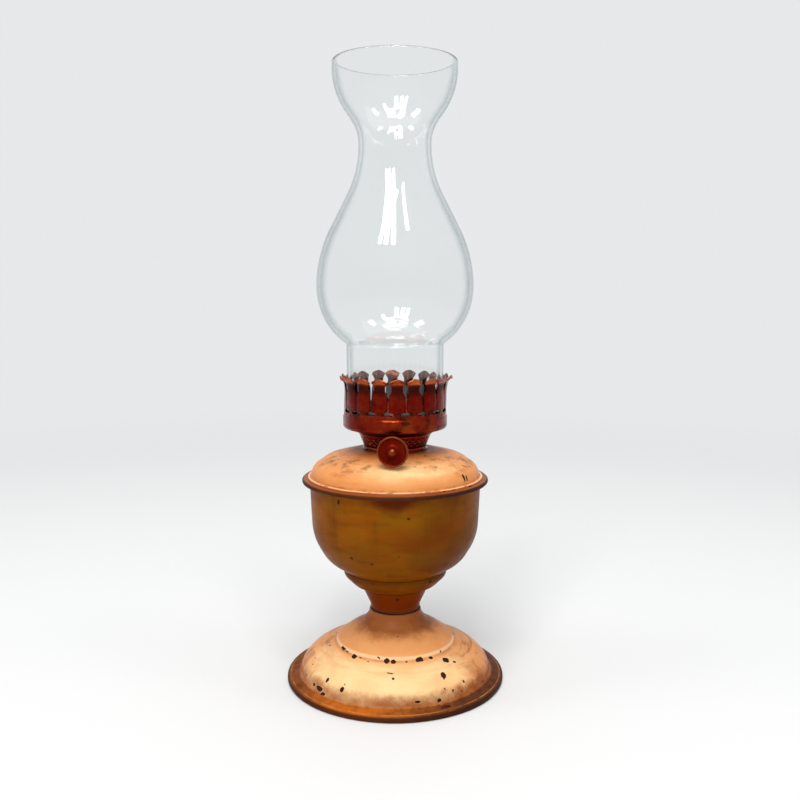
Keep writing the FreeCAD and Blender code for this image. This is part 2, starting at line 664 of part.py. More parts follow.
PIECES = {
    "foot": foot,
    "neck_ferrule": neck_ferrule,
    "stem_cup": stem_cup,
    "font_bowl": font_bowl,
    "font_top": font_top,
    "font_collar": font_collar,
    "burner_base": burner_base,
    "burner_floor": burner_floor,
    "air_basket": air_basket,
    "gallery_crown": gallery_crown,
    "flame_cone": flame_cone,
    "wick_tube": wick_tube,
    "rack_housing": rack_housing,
    "spindle_sleeve": spindle_sleeve,
    "vent_tube": vent_tube,
    "spindle": spindle,
    "front_star_wheel": lambda: star_wheel(-1),
    "rear_star_wheel": lambda: star_wheel(1),
    "thumb_wheel": thumb_wheel,
    "wheel_boss": wheel_boss,
    "wick": wick,
    "chimney": chimney,
}

os.makedirs("parts", exist_ok=True)
for name, make in PIECES.items():
    solid = make()
    print(f"{name:18s} valid {solid.isValid()}  solids {len(solid.Solids)}  volume {solid.Volume:9.1f}")
    solid.exportStep(f"parts/{name}.step")
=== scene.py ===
"""Dresses a flat-wick table lamp: worn enamel paint, tarnished brass, blown glass, and a pale studio round it.

Surfaces are worked out in millimetres with numpy, as outlines spun about the lamp's axis or sheets bent round it,
and become metres when they become meshes. Heights and radii that have to meet the solids are read from them.
"""
import math

import bmesh
import bpy
import numpy as np
from bpy.props import FloatProperty, FloatVectorProperty, IntProperty, PointerProperty
from bpy.types import Operator, Panel, PropertyGroup
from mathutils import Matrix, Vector


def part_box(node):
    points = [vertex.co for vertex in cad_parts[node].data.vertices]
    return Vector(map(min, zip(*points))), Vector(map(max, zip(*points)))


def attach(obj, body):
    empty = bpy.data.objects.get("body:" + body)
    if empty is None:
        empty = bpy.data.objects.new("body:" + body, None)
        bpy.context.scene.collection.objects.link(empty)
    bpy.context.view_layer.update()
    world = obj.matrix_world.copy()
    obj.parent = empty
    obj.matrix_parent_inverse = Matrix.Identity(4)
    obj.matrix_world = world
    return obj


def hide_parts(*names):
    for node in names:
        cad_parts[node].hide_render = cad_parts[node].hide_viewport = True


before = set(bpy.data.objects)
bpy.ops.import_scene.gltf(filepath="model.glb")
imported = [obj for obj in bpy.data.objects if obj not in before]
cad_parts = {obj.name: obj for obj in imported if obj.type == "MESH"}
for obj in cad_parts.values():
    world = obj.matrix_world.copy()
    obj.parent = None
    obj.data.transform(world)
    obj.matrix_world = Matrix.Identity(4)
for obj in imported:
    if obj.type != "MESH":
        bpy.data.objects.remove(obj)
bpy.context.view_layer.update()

bl_info = {
    "name": "Flat-wick table lamp",
    "version": (1, 0, 0),
    "blender": (4, 5, 0),
    "location": "3D View > Sidebar > Table Lamp",
    "description": "Builds the visible surfaces and finishes of a flat-wick kerosene table lamp",
    "category": "Object",
}

MM = 0.001
FULL_TURN = 2 * math.pi
ARC_STEP = math.radians(9)      # coarsest step along an outline's arc
EDGE_BEVEL = 0.09               # rounding of a sheet's cut edges, in millimetres
EDGE_ANGLE = math.radians(50)   # edges sharper than this are rounded

# Sheet thicknesses, as in the solids.
FOOT_SHEET = 0.6
FONT_SHEET = 0.5
BURNER_SHEET = 0.5
BASKET_SHEET = 0.4
GLASS_WALL = 1.4


def radius_of(node_name):
    """Largest radius of a round node about the lamp's axis, in millimetres."""
    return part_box(node_name)[1].x / MM


def foot_of(node_name):
    """Lowest height of a node, in millimetres."""
    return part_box(node_name)[0].z / MM


def top_of(node_name):
    """Highest height of a node, in millimetres."""
    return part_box(node_name)[1].z / MM


# ---- outlines --------------------------------------------------------------------------------------------------
def between(start, end, across, up, corner):
    """An outline's corner at a share of the way across and a share of the way up from start to end."""
    return (start[0] + (end[0] - start[0]) * across, start[1] + (end[1] - start[1]) * up, corner)


def unit(vectors):
    """Vectors scaled to length one."""
    return vectors / np.maximum(np.linalg.norm(vectors, axis=-1, keepdims=True), 1e-12)


def run(start, end, spacing):
    """Evenly spaced points after start, up to and with end."""
    steps = max(int(np.linalg.norm(end - start) / spacing), 1)
    return start + (end - start) * np.linspace(0, 1, steps + 1)[1:, None]


def corners_of(outline):
    """An outline's corners, the unit vectors along its sides, and the length of each side."""
    points = np.array([corner[:2] for corner in outline], float)
    sides = np.diff(points, axis=0)
    return points, unit(sides), np.linalg.norm(sides, axis=1)


def trace(outline, spacing):
    """Points along straight runs joined by tangent arcs. An arc of radius c turns by t over a reach of c tan(t/2)
    on each side of its corner, and its points are the corner's arc angle stepped evenly."""
    points, ways, length = corners_of(outline)
    radii = np.array([corner[2] for corner in outline], float)
    turns = np.arctan2(ways[:-1, 0] * ways[1:, 1] - ways[:-1, 1] * ways[1:, 0], (ways[:-1] * ways[1:]).sum(1))
    reach = np.zeros(len(points))
    reach[1:-1] = radii[1:-1] * np.abs(np.tan(turns / 2))
    share = np.minimum(1, 0.999 * length / np.maximum(reach[:-1] + reach[1:], 1e-9))
    reach *= np.minimum(np.append(share, 1), np.append(1, share))
    pieces = [points[:1]]
    for k, turn in enumerate(turns, start=1):
        enter, leave = points[k] - ways[k - 1] * reach[k], points[k] + ways[k] * reach[k]
        pieces.append(run(pieces[-1][-1], enter, spacing))
        if reach[k] > 1e-6:
            radius = reach[k] / abs(math.tan(turn / 2))
            side = math.copysign(1, turn)
            centre = enter + side * radius * np.array([-ways[k - 1][1], ways[k - 1][0]])
            start = math.atan2(*(enter - centre)[::-1])
            steps = max(int(abs(turn) / ARC_STEP), int(abs(turn) * radius / spacing), 2)
            angles = start + turn * np.linspace(0, 1, steps + 1)[1:]
            pieces.append(centre + radius * np.stack([np.cos(angles), np.sin(angles)], axis=1))
        else:
            pieces.append(leave[None])
    pieces.append(run(pieces[-1][-1], points[-1], spacing))
    path = np.concatenate(pieces)
    return path[np.append(True, np.linalg.norm(np.diff(path, axis=0), axis=1) > 1e-6)]


def inset(outline, wall):
    """The outline moved by wall to its left: each corner moves along its mitre, and its radius grows or shrinks."""
    points, ways, _ = corners_of(outline)
    lefts = np.stack([-ways[:, 1], ways[:, 0]], axis=1)
    turns = ways[:-1, 0] * ways[1:, 1] - ways[:-1, 1] * ways[1:, 0]
    mitres = (lefts[:-1] + lefts[1:]) / (1 + (lefts[:-1] * lefts[1:]).sum(1))[:, None]
    moved = points + wall * np.concatenate([lefts[:1], mitres, lefts[-1:]])
    radii = [0, *(max(corner[2] - math.copysign(wall, turn), 0) for corner, turn in zip(outline[1:-1], turns)), 0]
    return [(r, z, radius) for (r, z), radius in zip(moved, radii)]


def half_round(start, end, outward):
    """Points between start and end on a half circle that bulges outward, without its ends."""
    angles = np.linspace(0, math.pi, 6)[1:-1, None]
    middle, reach = (start + end) / 2, (start - end) / 2
    return middle + reach * np.cos(angles) + outward * np.linalg.norm(reach) * np.sin(angles)


def section(outline, wall, spacing=0.7):
    """The closed section of a sheet: its outer face, a rounded edge, its inner face and a rounded edge."""
    outer, inner = trace(outline, spacing), trace(inset(outline, wall), spacing)[::-1]
    parts = [outer, half_round(outer[-1], inner[0], unit(outer[-1] - outer[-2])), inner]
    if outer[0][0] > 1e-6:
        parts.append(half_round(inner[-1], outer[0], unit(outer[0] - outer[1])))
    return np.concatenate(parts)


def bend_of(loop):
    """How sharply a closed section turns at each point, in radians per millimetre: above 0 where it is an edge."""
    ahead, back = np.roll(loop, -1, axis=0) - loop, loop - np.roll(loop, 1, axis=0)
    turn = np.arctan2(back[:, 0] * ahead[:, 1] - back[:, 1] * ahead[:, 0], (back * ahead).sum(1))
    sharp = turn / np.maximum((np.linalg.norm(ahead, axis=1) + np.linalg.norm(back, axis=1)) / 2, 1e-3)
    for _ in range(3):
        sharp = (np.roll(sharp, 1) + 2 * sharp + np.roll(sharp, -1)) / 4
    return sharp


# ---- meshes ----------------------------------------------------------------------------------------------------
def bearings(count):
    """Evenly spaced angles once round."""
    return np.linspace(0, FULL_TURN, count, endpoint=False)


def about_axis(radius, bearing, height):
    """Points (radius cos bearing, radius sin bearing, height) about the lamp's axis."""
    return np.stack(np.broadcast_arrays(radius * np.cos(bearing), radius * np.sin(bearing), height), axis=-1)


def grid_faces(rows, columns, wrap_rows=True):
    """Four-cornered faces of a grid of points numbered row by row; a wrapped side closes on its first line."""
    row, column = np.meshgrid(np.arange(rows - (not wrap_rows)), np.arange(columns), indexing="ij")
    below, right = (row + 1) % rows, (column + 1) % columns
    return np.stack([row * columns + column, row * columns + right,
                     below * columns + right, below * columns + column], axis=-1).reshape(-1, 4)


def new_piece(name, points, faces, closed=True, **attributes):
    """A smooth-shaded object from points in millimetres, with named values stored on its points."""
    mesh = bpy.data.meshes.new(name)
    mesh.from_pydata((points.reshape(-1, 3) * MM).tolist(), [], faces.tolist())
    for key, values in attributes.items():
        layer = mesh.attributes.new(key, "FLOAT", "POINT")
        layer.data.foreach_set("value", np.asarray(values, np.float32).ravel())
    work = bmesh.new()
    work.from_mesh(mesh)
    bmesh.ops.remove_doubles(work, verts=work.verts, dist=1e-7)
    bmesh.ops.delete(work, geom=[edge for edge in work.edges if not edge.link_faces], context="EDGES")
    if closed:
        bmesh.ops.recalc_face_normals(work, faces=work.faces)
    work.to_mesh(mesh)
    work.free()
    mesh.polygons.foreach_set("use_smooth", np.ones(len(mesh.polygons), bool))
    mesh.update()
    piece = bpy.data.objects.new(name, mesh)
    bpy.context.scene.collection.objects.link(piece)
    return piece


def spun(name, loop, sides, wobble=None):
    """A closed section (radius, height) turned about the lamp's axis, after wobble(radius, height, bearing) has
    moved its radius and height."""
    radius, height, bearing = loop[:, :1], loop[:, 1:], bearings(sides)[None, :]
    if wobble:
        radius, height = wobble(radius, height, bearing)
    return new_piece(name, about_axis(radius, bearing, height), grid_faces(len(loop), sides),
                     sharp=np.repeat(bend_of(loop), sides))


def ripples(bearing, height, seed, waves=5, count=6, pitch=40.0):
    """A sum of cosines of small whole multiples of the bearing and slow waves of the height, about 1 high."""
    draw = np.random.default_rng(seed)
    total = 0.0
    for _ in range(count):
        total = total + draw.uniform(0.4, 1) * np.cos(
            draw.integers(1, waves + 1) * bearing + height / pitch * draw.uniform(-6, 6) + draw.uniform(0, 6.3))
    return total / count


def dents(bearing, height, marks):
    """Soft hollows: each mark is (bearing in degrees, height, width, depth), and sinks as a bell curve."""
    depth = 0.0
    for where, level, width, deep in marks:
        across = np.degrees(np.angle(np.exp(1j * (bearing - math.radians(where)))))
        depth = depth + deep * np.exp(-(across / (2 * width)) ** 2 - ((height - level) / width) ** 2)
    return depth


def thicken(piece, wall):
    """Gives a sheet its wall, on its inner side, with the cut edges slightly rounded."""
    solid = piece.modifiers.new("wall", "SOLIDIFY")
    solid.thickness = wall * MM
    solid.offset = -1
    solid.use_even_offset = False
    bevel = piece.modifiers.new("edges", "BEVEL")
    bevel.width = EDGE_BEVEL * MM
    bevel.segments = 2
    bevel.limit_method = "ANGLE"
    bevel.angle_limit = EDGE_ANGLE


def stand_in(piece, solid, body, material):
    """Gives a piece its material and its body, and puts it in place of a solid."""
    piece.data.materials.append(material)
    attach(piece, body)
    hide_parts(solid)


def dress(node_name, material):
    """Puts a material in every slot of a solid that stays."""
    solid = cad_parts[node_name]
    if not solid.data.materials:
        solid.data.materials.append(material)
    for slot in solid.material_slots:
        slot.material = material


# ---- node building ---------------------------------------------------------------------------------------------
def node(tree, kind, inputs=None, **settings):
    """A new node with its settings and inputs: an input that is a signal is linked."""
    made = tree.nodes.new("ShaderNode" + kind)
    for key, value in settings.items():
        setattr(made, key, value)
    for key, value in (inputs or {}).items():
        if isinstance(value, Signal):
            tree.links.new(value.socket, made.inputs[key])
        else:
            made.inputs[key].default_value = value
    return made


class Signal:
    """A node's output that is reckoned with like a number: each step makes a node in the same tree."""

    def __init__(self, socket):
        self.socket, self.tree = socket, socket.id_data

    def result(self, operation, *values):
        """What a Math node makes of the values."""
        return Signal(node(self.tree, "Math", dict(enumerate(values)), operation=operation).outputs[0])

    def __add__(self, other):
        return self.result("ADD", self, other)

    def __mul__(self, other):
        return self.result("MULTIPLY", self, other)

    __radd__, __rmul__ = __add__, __mul__

    def __sub__(self, other):
        return self.result("SUBTRACT", self, other)

    def __rsub__(self, other):
        return self.result("SUBTRACT", other, self)

    def __abs__(self):
        return self.result("ABSOLUTE", self)

    def larger(self, other):
        """The larger of two."""
        return self.result("MAXIMUM", self, other)

    def below(self, limit):
        """1 where the signal is below a limit, and 0 elsewhere."""
        return self.result("LESS_THAN", self, limit)

    def ramp(self, low, high, to_low=0.0, to_high=1.0):
        """The signal carried smoothly from low..high to to_low..to_high."""
        inputs = {"Value": self, "From Min": low, "From Max": high, "To Min": to_low, "To Max": to_high}
        return Signal(node(self.tree, "MapRange", inputs, interpolation_type="SMOOTHSTEP").outputs["Result"])

    def blend(self, first, second):
        """The first colour where the signal is 0, going over to the second where it is 1."""
        first, second = (colour if isinstance(colour, Signal) else (*colour, 1.0) for colour in (first, second))
        return Signal(node(self.tree, "Mix", {0: self, 6: first, 7: second}, data_type="RGBA").outputs[2])

    def vector(self, operation, other=None):
        """A sum, product, distance and so on of vectors."""
        made = node(self.tree, "VectorMath", {0: self} if other is None else {0: self, 1: other},
                    operation=operation)
        return Signal(made.outputs["Value" if operation in ("LENGTH", "DISTANCE", "DOT_PRODUCT") else "Vector"])

    def part(self, axis):
        """One coordinate of a vector."""
        return Signal(node(self.tree, "SeparateXYZ", {"Vector": self}).outputs[axis])

    def scaled(self, *scale):
        """A vector with each coordinate scaled, which stretches a pattern."""
        return Signal(node(self.tree, "Mapping", {"Vector": self, "Scale": scale}).outputs[0])

    def noise(self, scale, detail=2.0, roughness=0.5):
        """Noise at a vector."""
        inputs = {"Vector": self, "Scale": scale, "Detail": detail, "Roughness": roughness}
        return Signal(node(self.tree, "TexNoise", inputs).outputs["Fac"])


def effect(name, sockets, build):
    """A shader node group, built once. The sockets give its inputs' defaults, or None for a vector, and build makes
    its outputs from its inputs, both by name."""
    if name in bpy.data.node_groups:
        return bpy.data.node_groups[name]
    tree = bpy.data.node_groups.new(name, "ShaderNodeTree")
    for label, default in sockets.items():
        kind = "NodeSocketVector" if default is None else "NodeSocketFloat"
        socket = tree.interface.new_socket(label, in_out="INPUT", socket_type=kind)
        if default is not None:
            socket.default_value = default
    given = {socket.name: Signal(socket) for socket in tree.nodes.new("NodeGroupInput").outputs}
    sink = tree.nodes.new("NodeGroupOutput")
    for label, value in build(**{key.lower().replace(" ", "_"): given[key] for key in sockets}).items():
        kind = "NodeSocketVector" if label == "Vector" else "NodeSocketFloat"
        tree.interface.new_socket(label, in_out="OUTPUT", socket_type=kind)
        tree.links.new(value.socket, sink.inputs[label])
    return tree


def placed(group, vector, **inputs):
    """The outputs of a group put in a vector's tree; an underscore in an input's name stands for a space."""
    inputs = {"Vector": vector, **{key.replace("_", " "): value for key, value in inputs.items()}}
    made = node(vector.tree, "Group", inputs, node_tree=group)
    return {socket.name: Signal(socket) for socket in made.outputs}


def clouds(vector, scale, detail, low, high):
    """Soft patches: noise, cut between low and high."""
    def build(vector, scale, detail, low, high):
        return {"Mask": vector.noise(scale, detail, 0.6).ramp(low, high)}
    group = effect("Soft Patches", {"Vector": None, "Scale": 50.0, "Detail": 4.0, "Low": 0.45, "High": 0.6}, build)
    return placed(group, vector, Scale=scale, Detail=detail, Low=low, High=high)["Mask"]


def spun_form(vector, fineness):
    """Coordinates for marks left by spinning, in which the bearing counts little and the distance along the form
    much, and the radius."""
    def build(vector, fineness):
        tree = vector.tree
        flat = Signal(node(tree, "CombineXYZ", {"X": vector.part("X"), "Y": vector.part("Y")}).outputs[0])
        radius = flat.vector("LENGTH")
        lift = node(tree, "CombineXYZ", {"Z": (radius + vector.part("Z")) * fineness})
        return {"Vector": flat.vector("NORMALIZE").vector("ADD", Signal(lift.outputs[0])), "Radius": radius}
    return placed(effect("Spun Coordinates", {"Vector": None, "Fineness": 300.0}, build), vector, Fineness=fineness)


def specks(vector, scale, share, size=0.2):
    """Scattered specks: a share of random cells, each with a dot of its own size."""
    def build(vector, scale, share, size):
        cells = node(vector.tree, "TexVoronoi", {"Vector": vector, "Scale": scale}).outputs
        lot = node(vector.tree, "SeparateColor", {"Color": Signal(cells["Color"])}).outputs
        dot = size * (Signal(lot["Green"]) + 0.3) - Signal(cells["Distance"])
        return {"Mask": dot.ramp(0.0, 0.05) * Signal(lot["Red"]).below(share)}
    group = effect("Scattered Specks", {"Vector": None, "Scale": 200.0, "Share": 0.1, "Size": 0.3}, build)
    return placed(group, vector, Scale=scale, Share=share, Size=size)["Mask"]


def chip_group():
    """One chip in the paint: an oval about a point of the surface, its outline made ragged by noise."""
    def build(vector, centre, half_size, bearing, tilt, ragged):
        turned = node(vector.tree, "VectorRotate", {"Vector": vector.vector("SUBTRACT", centre), "Angle": bearing},
                      rotation_type="Z_AXIS")
        tilted = node(vector.tree, "VectorRotate", {"Vector": Signal(turned.outputs[0]), "Axis": (1.0, 0.0, 1.0),
                                                    "Angle": tilt})
        away = Signal(tilted.outputs[0]).vector("DIVIDE", half_size).vector("LENGTH") + ragged
        return {"Mask": away.ramp(0.9, 1.0, 1.0, 0.0), "Rim": away.ramp(1.1, 1.35, 1.0, 0.0)}
    return effect("Paint Chip", {"Vector": None, "Centre": None, "Half Size": None, "Bearing": 0.0, "Tilt": 0.0,
                                 "Ragged": 0.0}, build)


def chips(vector, marks):
    """All the chips of one piece, and the rims round them: each mark is (bearing in degrees, radius, height, width,
    length, tilt in degrees)."""
    ragged = (vector.noise(900.0, detail=3.0) - 0.5) * 1.1
    mask, rim = 0.0, 0.0
    for bearing, radius, height, width, length, tilt in marks:
        turn = math.radians(bearing)
        chip = placed(chip_group(), vector, Ragged=ragged, Bearing=-turn, Tilt=math.radians(tilt),
                      Centre=(radius * math.cos(turn) * MM, radius * math.sin(turn) * MM, height * MM),
                      Half_Size=(length / 2 * MM, width / 2 * MM, length / 2 * MM))
        mask, rim = chip["Mask"].larger(mask), chip["Rim"].larger(rim)
    return mask, rim


def fresh_material(name):
    """A material with an empty tree but for its output, its Principled shader and its Object coordinates."""
    material = bpy.data.materials.new(name)
    material.use_nodes = True
    tree = material.node_tree
    tree.nodes.clear()
    shader = node(tree, "BsdfPrincipled")
    tree.links.new(shader.outputs["BSDF"], node(tree, "OutputMaterial").inputs["Surface"])
    return material, shader, Signal(node(tree, "TexCoord").outputs["Object"])


def stored(vector, name):
    """A value stored on the mesh's points."""
    return Signal(node(vector.tree, "Attribute", attribute_name=name).outputs["Fac"])


def wire(shader, **inputs):
    """Links or sets a shader's inputs; an underscore in a name stands for a space."""
    for key, value in inputs.items():
        socket = shader.inputs[key.replace("_", " ")]
        if isinstance(value, Signal):
            value.tree.links.new(value.socket, socket)
        else:
            socket.default_value = (*value, 1.0) if isinstance(value, tuple) else value


def relief(height, distance, below=None):
    """A bump of the given height in millimetres, on top of another."""
    inputs = {"Height": height, "Distance": distance * MM}
    if below:
        inputs["Normal"] = below
    return Signal(node(height.tree, "Bump", inputs).outputs["Normal"])


# ---- finishes --------------------------------------------------------------------------------------------------
def cream_paint(name, colours, marks, bands, bare_zone, roam, lit_spot, shade_and_age_from, lit_line, soiled=None):
    """Old cream paint: palest about a lit spot, a painted pool of light, and warmer and more stained further from it,
    which is painted shade as well as stain; with warm streaks left by spinning, painted shade in the hollows, specks,
    chips, and bare rusted edges with painted shade at the sides and a painted highlight along the roll. Each band is
    (colour, strength, radius where it is absent, radius where it is full, how far its edge wanders). The bare zone
    gives the radii where bare metal starts and is full, and the radius of the dark edge, which wanders by roam. The lit
    line is
    a painted highlight along a crest: its radius and half width. The soiled ring is one of small brown smudges: its
    radius, half width and strength."""
    material, shader, vector = fresh_material(name)
    form = spun_form(vector, 260.0)
    streak = clouds(form["Vector"], scale=2.2, detail=5.0, low=0.38, high=0.66)
    brushed = clouds(form["Vector"], scale=3.4, detail=7.0, low=0.46, high=0.72)
    patch = clouds(vector, scale=38.0, detail=8.0, low=0.42, high=0.66)
    fine = clouds(vector, scale=240.0, detail=6.0, low=0.4, high=0.7)
    ragged = vector.noise(130.0, detail=10.0, roughness=0.66)
    offset = ragged - 0.5
    exact = form["Radius"]
    # The ground: palest about the lit spot, a painted pool of light; further from it warmer, with more stained patches,
    # brushed stain and specks, which is painted shade as well as stain.
    radius = exact + offset * (roam * MM)
    away = vector.vector("DISTANCE", tuple(part * MM for part in lit_spot))
    shaded_and_aged = (away + offset * (30 * MM)).ramp(shade_and_age_from * MM, (shade_and_age_from + 26) * MM)
    warm = (streak * (0.3 + shaded_and_aged * 0.7)).larger(shaded_and_aged * 0.85)
    colour = warm.blend(colours.cream, colours.cream_warm_and_painted_light)
    colour = (patch * (0.12 + shaded_and_aged * 0.45)).blend(colour, colours.cream_shade)
    colour = (brushed * (shaded_and_aged * 0.8)).blend(colour, colours.stain_and_shade)
    # Bands of stain and of painted shade, smudges, and a painted highlight along a ridge, all following the radius.
    for shade, strength, absent, full, wander in bands:
        ends = (0.0, strength) if full > absent else (strength, 0.0)
        share = (exact + offset * (wander * MM)).ramp(min(absent, full) * MM, max(absent, full) * MM, *ends)
        cover, broken = (patch, 0.22) if wander > 4 else (streak, 0.05)
        colour = (share * (1 - broken + cover * broken)).blend(colour, shade)
    if soiled:
        middle, half_width, strength = soiled
        beside = abs(radius - middle * MM).ramp(half_width * 0.4 * MM, half_width * MM, strength, 0.0)
        colour = (beside * clouds(vector, scale=210.0, detail=7.0, low=0.5, high=0.66)).blend(colour, colours.smudge)
    # Painted highlight: a paler ring along the crest of the foot's ridge or the top's bead.
    middle, half_width = lit_line
    ring = abs(exact - middle * MM).ramp(half_width * 0.3 * MM, half_width * MM, 0.65, 0.0)
    colour = ring.blend(colour, colours.cream_highlight_and_lifted)
    # Freckles, painted shade in the hollows, and lifted paint round the chips.
    colour = (specks(vector, scale=300.0, share=0.06) * (shaded_and_aged * 0.6)).blend(colour, colours.stain_and_shade)
    sharp = stored(vector, "sharp")
    colour = ((sharp * -1.0).ramp(0.05, 0.9) * (0.15 + fine * 0.45)).blend(colour, colours.stain_and_shade)
    chip, rim = chips(vector, marks)
    pitted = chip.larger(specks(vector, scale=420.0, share=0.014))
    colour = ((rim - chip) * 0.12).larger(0.0).blend(colour, colours.cream_highlight_and_lifted)
    # Bare metal: orange rust in front, with painted shade at the sides, darkest at the edge, and a painted highlight
    # along the roll.
    bare_from, bare_full, edge = bare_zone
    flange = radius.ramp(bare_from * MM, bare_full * MM)
    worn = sharp.ramp(0.7, 1.3) * ragged.ramp(0.54, 0.62)
    side = vector.part("X") + offset * (50 * MM)
    side_shade = side.ramp(-4 * MM, 34 * MM).larger(side.ramp(-42 * MM, -14 * MM, 0.75, 0.0))
    bare = side_shade.blend(colours.rust_orange, colours.rust_light)
    dark = exact.ramp((edge - 1.0) * MM, (edge - 0.1) * MM, 0.0, 0.9).larger(fine * 0.45)
    bare = dark.blend(bare, colours.rust_dark)
    # Painted highlight: a paler line along the top of the rolled edge.
    line = abs(exact - (edge - 1.5) * MM).ramp(0.05 * MM, 0.35 * MM, 0.5, 0.0) * ragged.ramp(0.35, 0.6)
    bare = line.blend(bare, colours.cream_warm_and_painted_light)
    colour = flange.larger(worn).blend(colour, bare)
    colour = pitted.blend(colour, (fine * 0.6).blend(colours.rust_dark, colours.rust_light))
    open_metal = flange.larger(pitted)
    painted = 1.0 - open_metal
    wire(shader, Base_Color=colour, Roughness=0.34 + fine * 0.14 + open_metal * 0.15, Coat_Weight=painted * 0.05,
         Normal=relief(fine, 0.03, relief(painted, 0.1)), Coat_Roughness=0.25, Specular_IOR_Level=0.08)
    return material


def ochre_paint(name, colours, marks, stain_spot):
    """Glossy ochre paint: brown and olive clouds, dark runs down the side, tide lines, specks and small chips, painted
    shade on the +X side and in the hollows under the flange, and darker towards the bottom. Dark red stain hangs about
    a spot, and redder paint comes up from the stem below."""
    material, shader, vector = fresh_material(name)
    stretched, drawn_down = vector.scaled(1.0, 1.0, 1.9), vector.scaled(1.0, 1.0, 0.25)
    noise = stretched.noise(26.0, detail=2.5)
    brown = noise.ramp(0.38, 0.62)
    olive = clouds(stretched, scale=48.0, detail=3.0, low=0.48, high=0.66)
    wiped = clouds(spun_form(vector, 110.0)["Vector"], scale=2.3, detail=9.0, low=0.46, high=0.74)
    runs = clouds(drawn_down, scale=120.0, detail=4.0, low=0.52, high=0.72)
    drips = clouds(drawn_down, scale=70.0, detail=3.0, low=0.25, high=0.75)
    fine = clouds(vector, scale=300.0, detail=6.0, low=0.4, high=0.7)
    height = vector.part("Z")
    side = vector.part("X") + (noise - 0.5) * (60 * MM)
    tide = abs(noise - 0.47).ramp(0.0, 0.02, 1.0, 0.0) * 0.12
    colour = brown.blend(colours.ochre, colours.ochre_brown)
    colour = (olive * 0.7).blend(colour, colours.ochre_olive)
    # Darker: wiped streaks, runs, painted shade on the +X side, tide lines, and darker towards the bottom.
    for darker in (wiped * 0.35, runs * 0.3, side.ramp(6 * MM, 34 * MM, 0.0, 0.52), tide,
                   height.ramp(50 * MM, 78 * MM, 0.5, 0.0)):
        colour = darker.blend(colour, colours.ochre_dark_and_shade)
    away = vector.vector("SUBTRACT", tuple(part * MM for part in stain_spot))
    away = away.vector("MULTIPLY", (0.8, 1.0, 1.7)).vector("LENGTH") + drips * (-4 * MM)
    colour = away.ramp(3 * MM, 12 * MM, 0.85, 0.0).blend(colour, colours.stain_red)
    stem = (height + noise * (14 * MM)).ramp(42 * MM, 52 * MM, 1.0, 0.0)
    colour = (stem * 0.75).blend(colour, colours.ochre_red)
    # Painted shade in the hollows of the bends, most of all under the flange.
    hollow_shade = (stored(vector, "sharp") * -1.0).ramp(0.05, 0.8)
    colour = (hollow_shade * 0.7).blend(colour, colours.ochre_dark_and_shade)
    bare = chips(vector, marks)[0].larger(specks(vector, scale=330.0, share=0.012))
    colour = bare.blend(colour, fine.blend(colours.rust_dark, colours.rust_light))
    wire(shader, Base_Color=colour, Roughness=0.3 + fine * 0.12 + runs * 0.1,
         Normal=relief(brown, 0.05, relief(1.0 - bare, 0.15)), Specular_IOR_Level=0.04)
    return material


def old_brass(name, colours, bright_edges, dullness=0.2, inner_soot=0.0, coat=0.09, yellow=0.75, grime=0.0):
    """Brass turned red-brown by heat: near-black where soot sits, on faces turned to the flame and in the painted shade
    stored on the points; darkened all over by grime; and copper-bright where the stored sharpness is high, on rubbed
    edges with a painted highlight."""
    material, shader, vector = fresh_material(name)
    cloud = clouds(vector, scale=95.0, detail=5.0, low=0.36, high=0.64)
    soot = clouds(vector, scale=170.0, detail=6.0, low=0.5, high=0.68)
    fine = clouds(vector, scale=800.0, detail=5.0, low=0.4, high=0.7)
    spared = clouds(vector, scale=70.0, detail=4.0, low=0.5, high=0.66)
    colour = cloud.blend(colours.tarnish, colours.tarnish_red)
    colour = (spared * yellow).blend(colour, colours.amber)
    colour = (soot * 0.75).larger(grime).blend(colour, colours.soot)
    # Copper where the stored sharpness is high: rubbed edges, and a painted highlight on the gallery's heads, the
    # basket's hole rims and the wheel's rim.
    rubbed_and_highlight = stored(vector, "sharp").ramp(0.9, 2.4) * bright_edges * (0.35 + cloud * 0.65)
    colour = rubbed_and_highlight.blend(colour, colours.copper)
    outward = vector.vector("MULTIPLY", (1.0, 1.0, 0.0)).vector("NORMALIZE")
    facing = Signal(node(vector.tree, "TexCoord").outputs["Normal"]).vector("DOT_PRODUCT", outward)
    inner = facing.ramp(-0.3, 0.0, inner_soot, 0.0)
    # Near-black in the painted shade stored on the points, and on faces turned to the flame.
    colour = stored(vector, "sooted").larger(inner).blend(colour, colours.soot)
    wire(shader, Base_Color=colour, Roughness=dullness + soot * 0.25, Metallic=1.0,
         Normal=relief(cloud, 0.08, relief(fine, 0.02)), Coat_Weight=coat, Coat_Roughness=0.08)
    return material


def rusted_tin(name, colours):
    """Bare tinplate gone to dark rust, for the ring in the joint under the stem cup."""
    material, shader, vector = fresh_material(name)
    fine = clouds(vector, scale=900.0, detail=5.0, low=0.4, high=0.7)
    colour = clouds(vector, scale=180.0, detail=6.0, low=0.35, high=0.65).blend(colours.rust_dark, colours.rust_light)
    wire(shader, Base_Color=colour, Roughness=0.5 + fine * 0.3, Normal=relief(fine, 0.08), Metallic=0.2)
    return material


def dull_wire(name, colours):
    """Tarnished wire with fine scratches along it."""
    material, shader, vector = fresh_material(name)
    scratch = clouds(vector.scaled(1.0, 0.06, 1.0), scale=2500.0, detail=3.0, low=0.35, high=0.7)
    colour = scratch.blend(colours.tarnish, colours.amber)
    colour = (clouds(vector, scale=300.0, detail=5.0, low=0.4, high=0.65) * 0.7).blend(colour, colours.soot)
    wire(shader, Base_Color=colour, Roughness=0.25 + scratch * 0.2, Normal=relief(scratch, 0.02), Metallic=0.9)
    return material


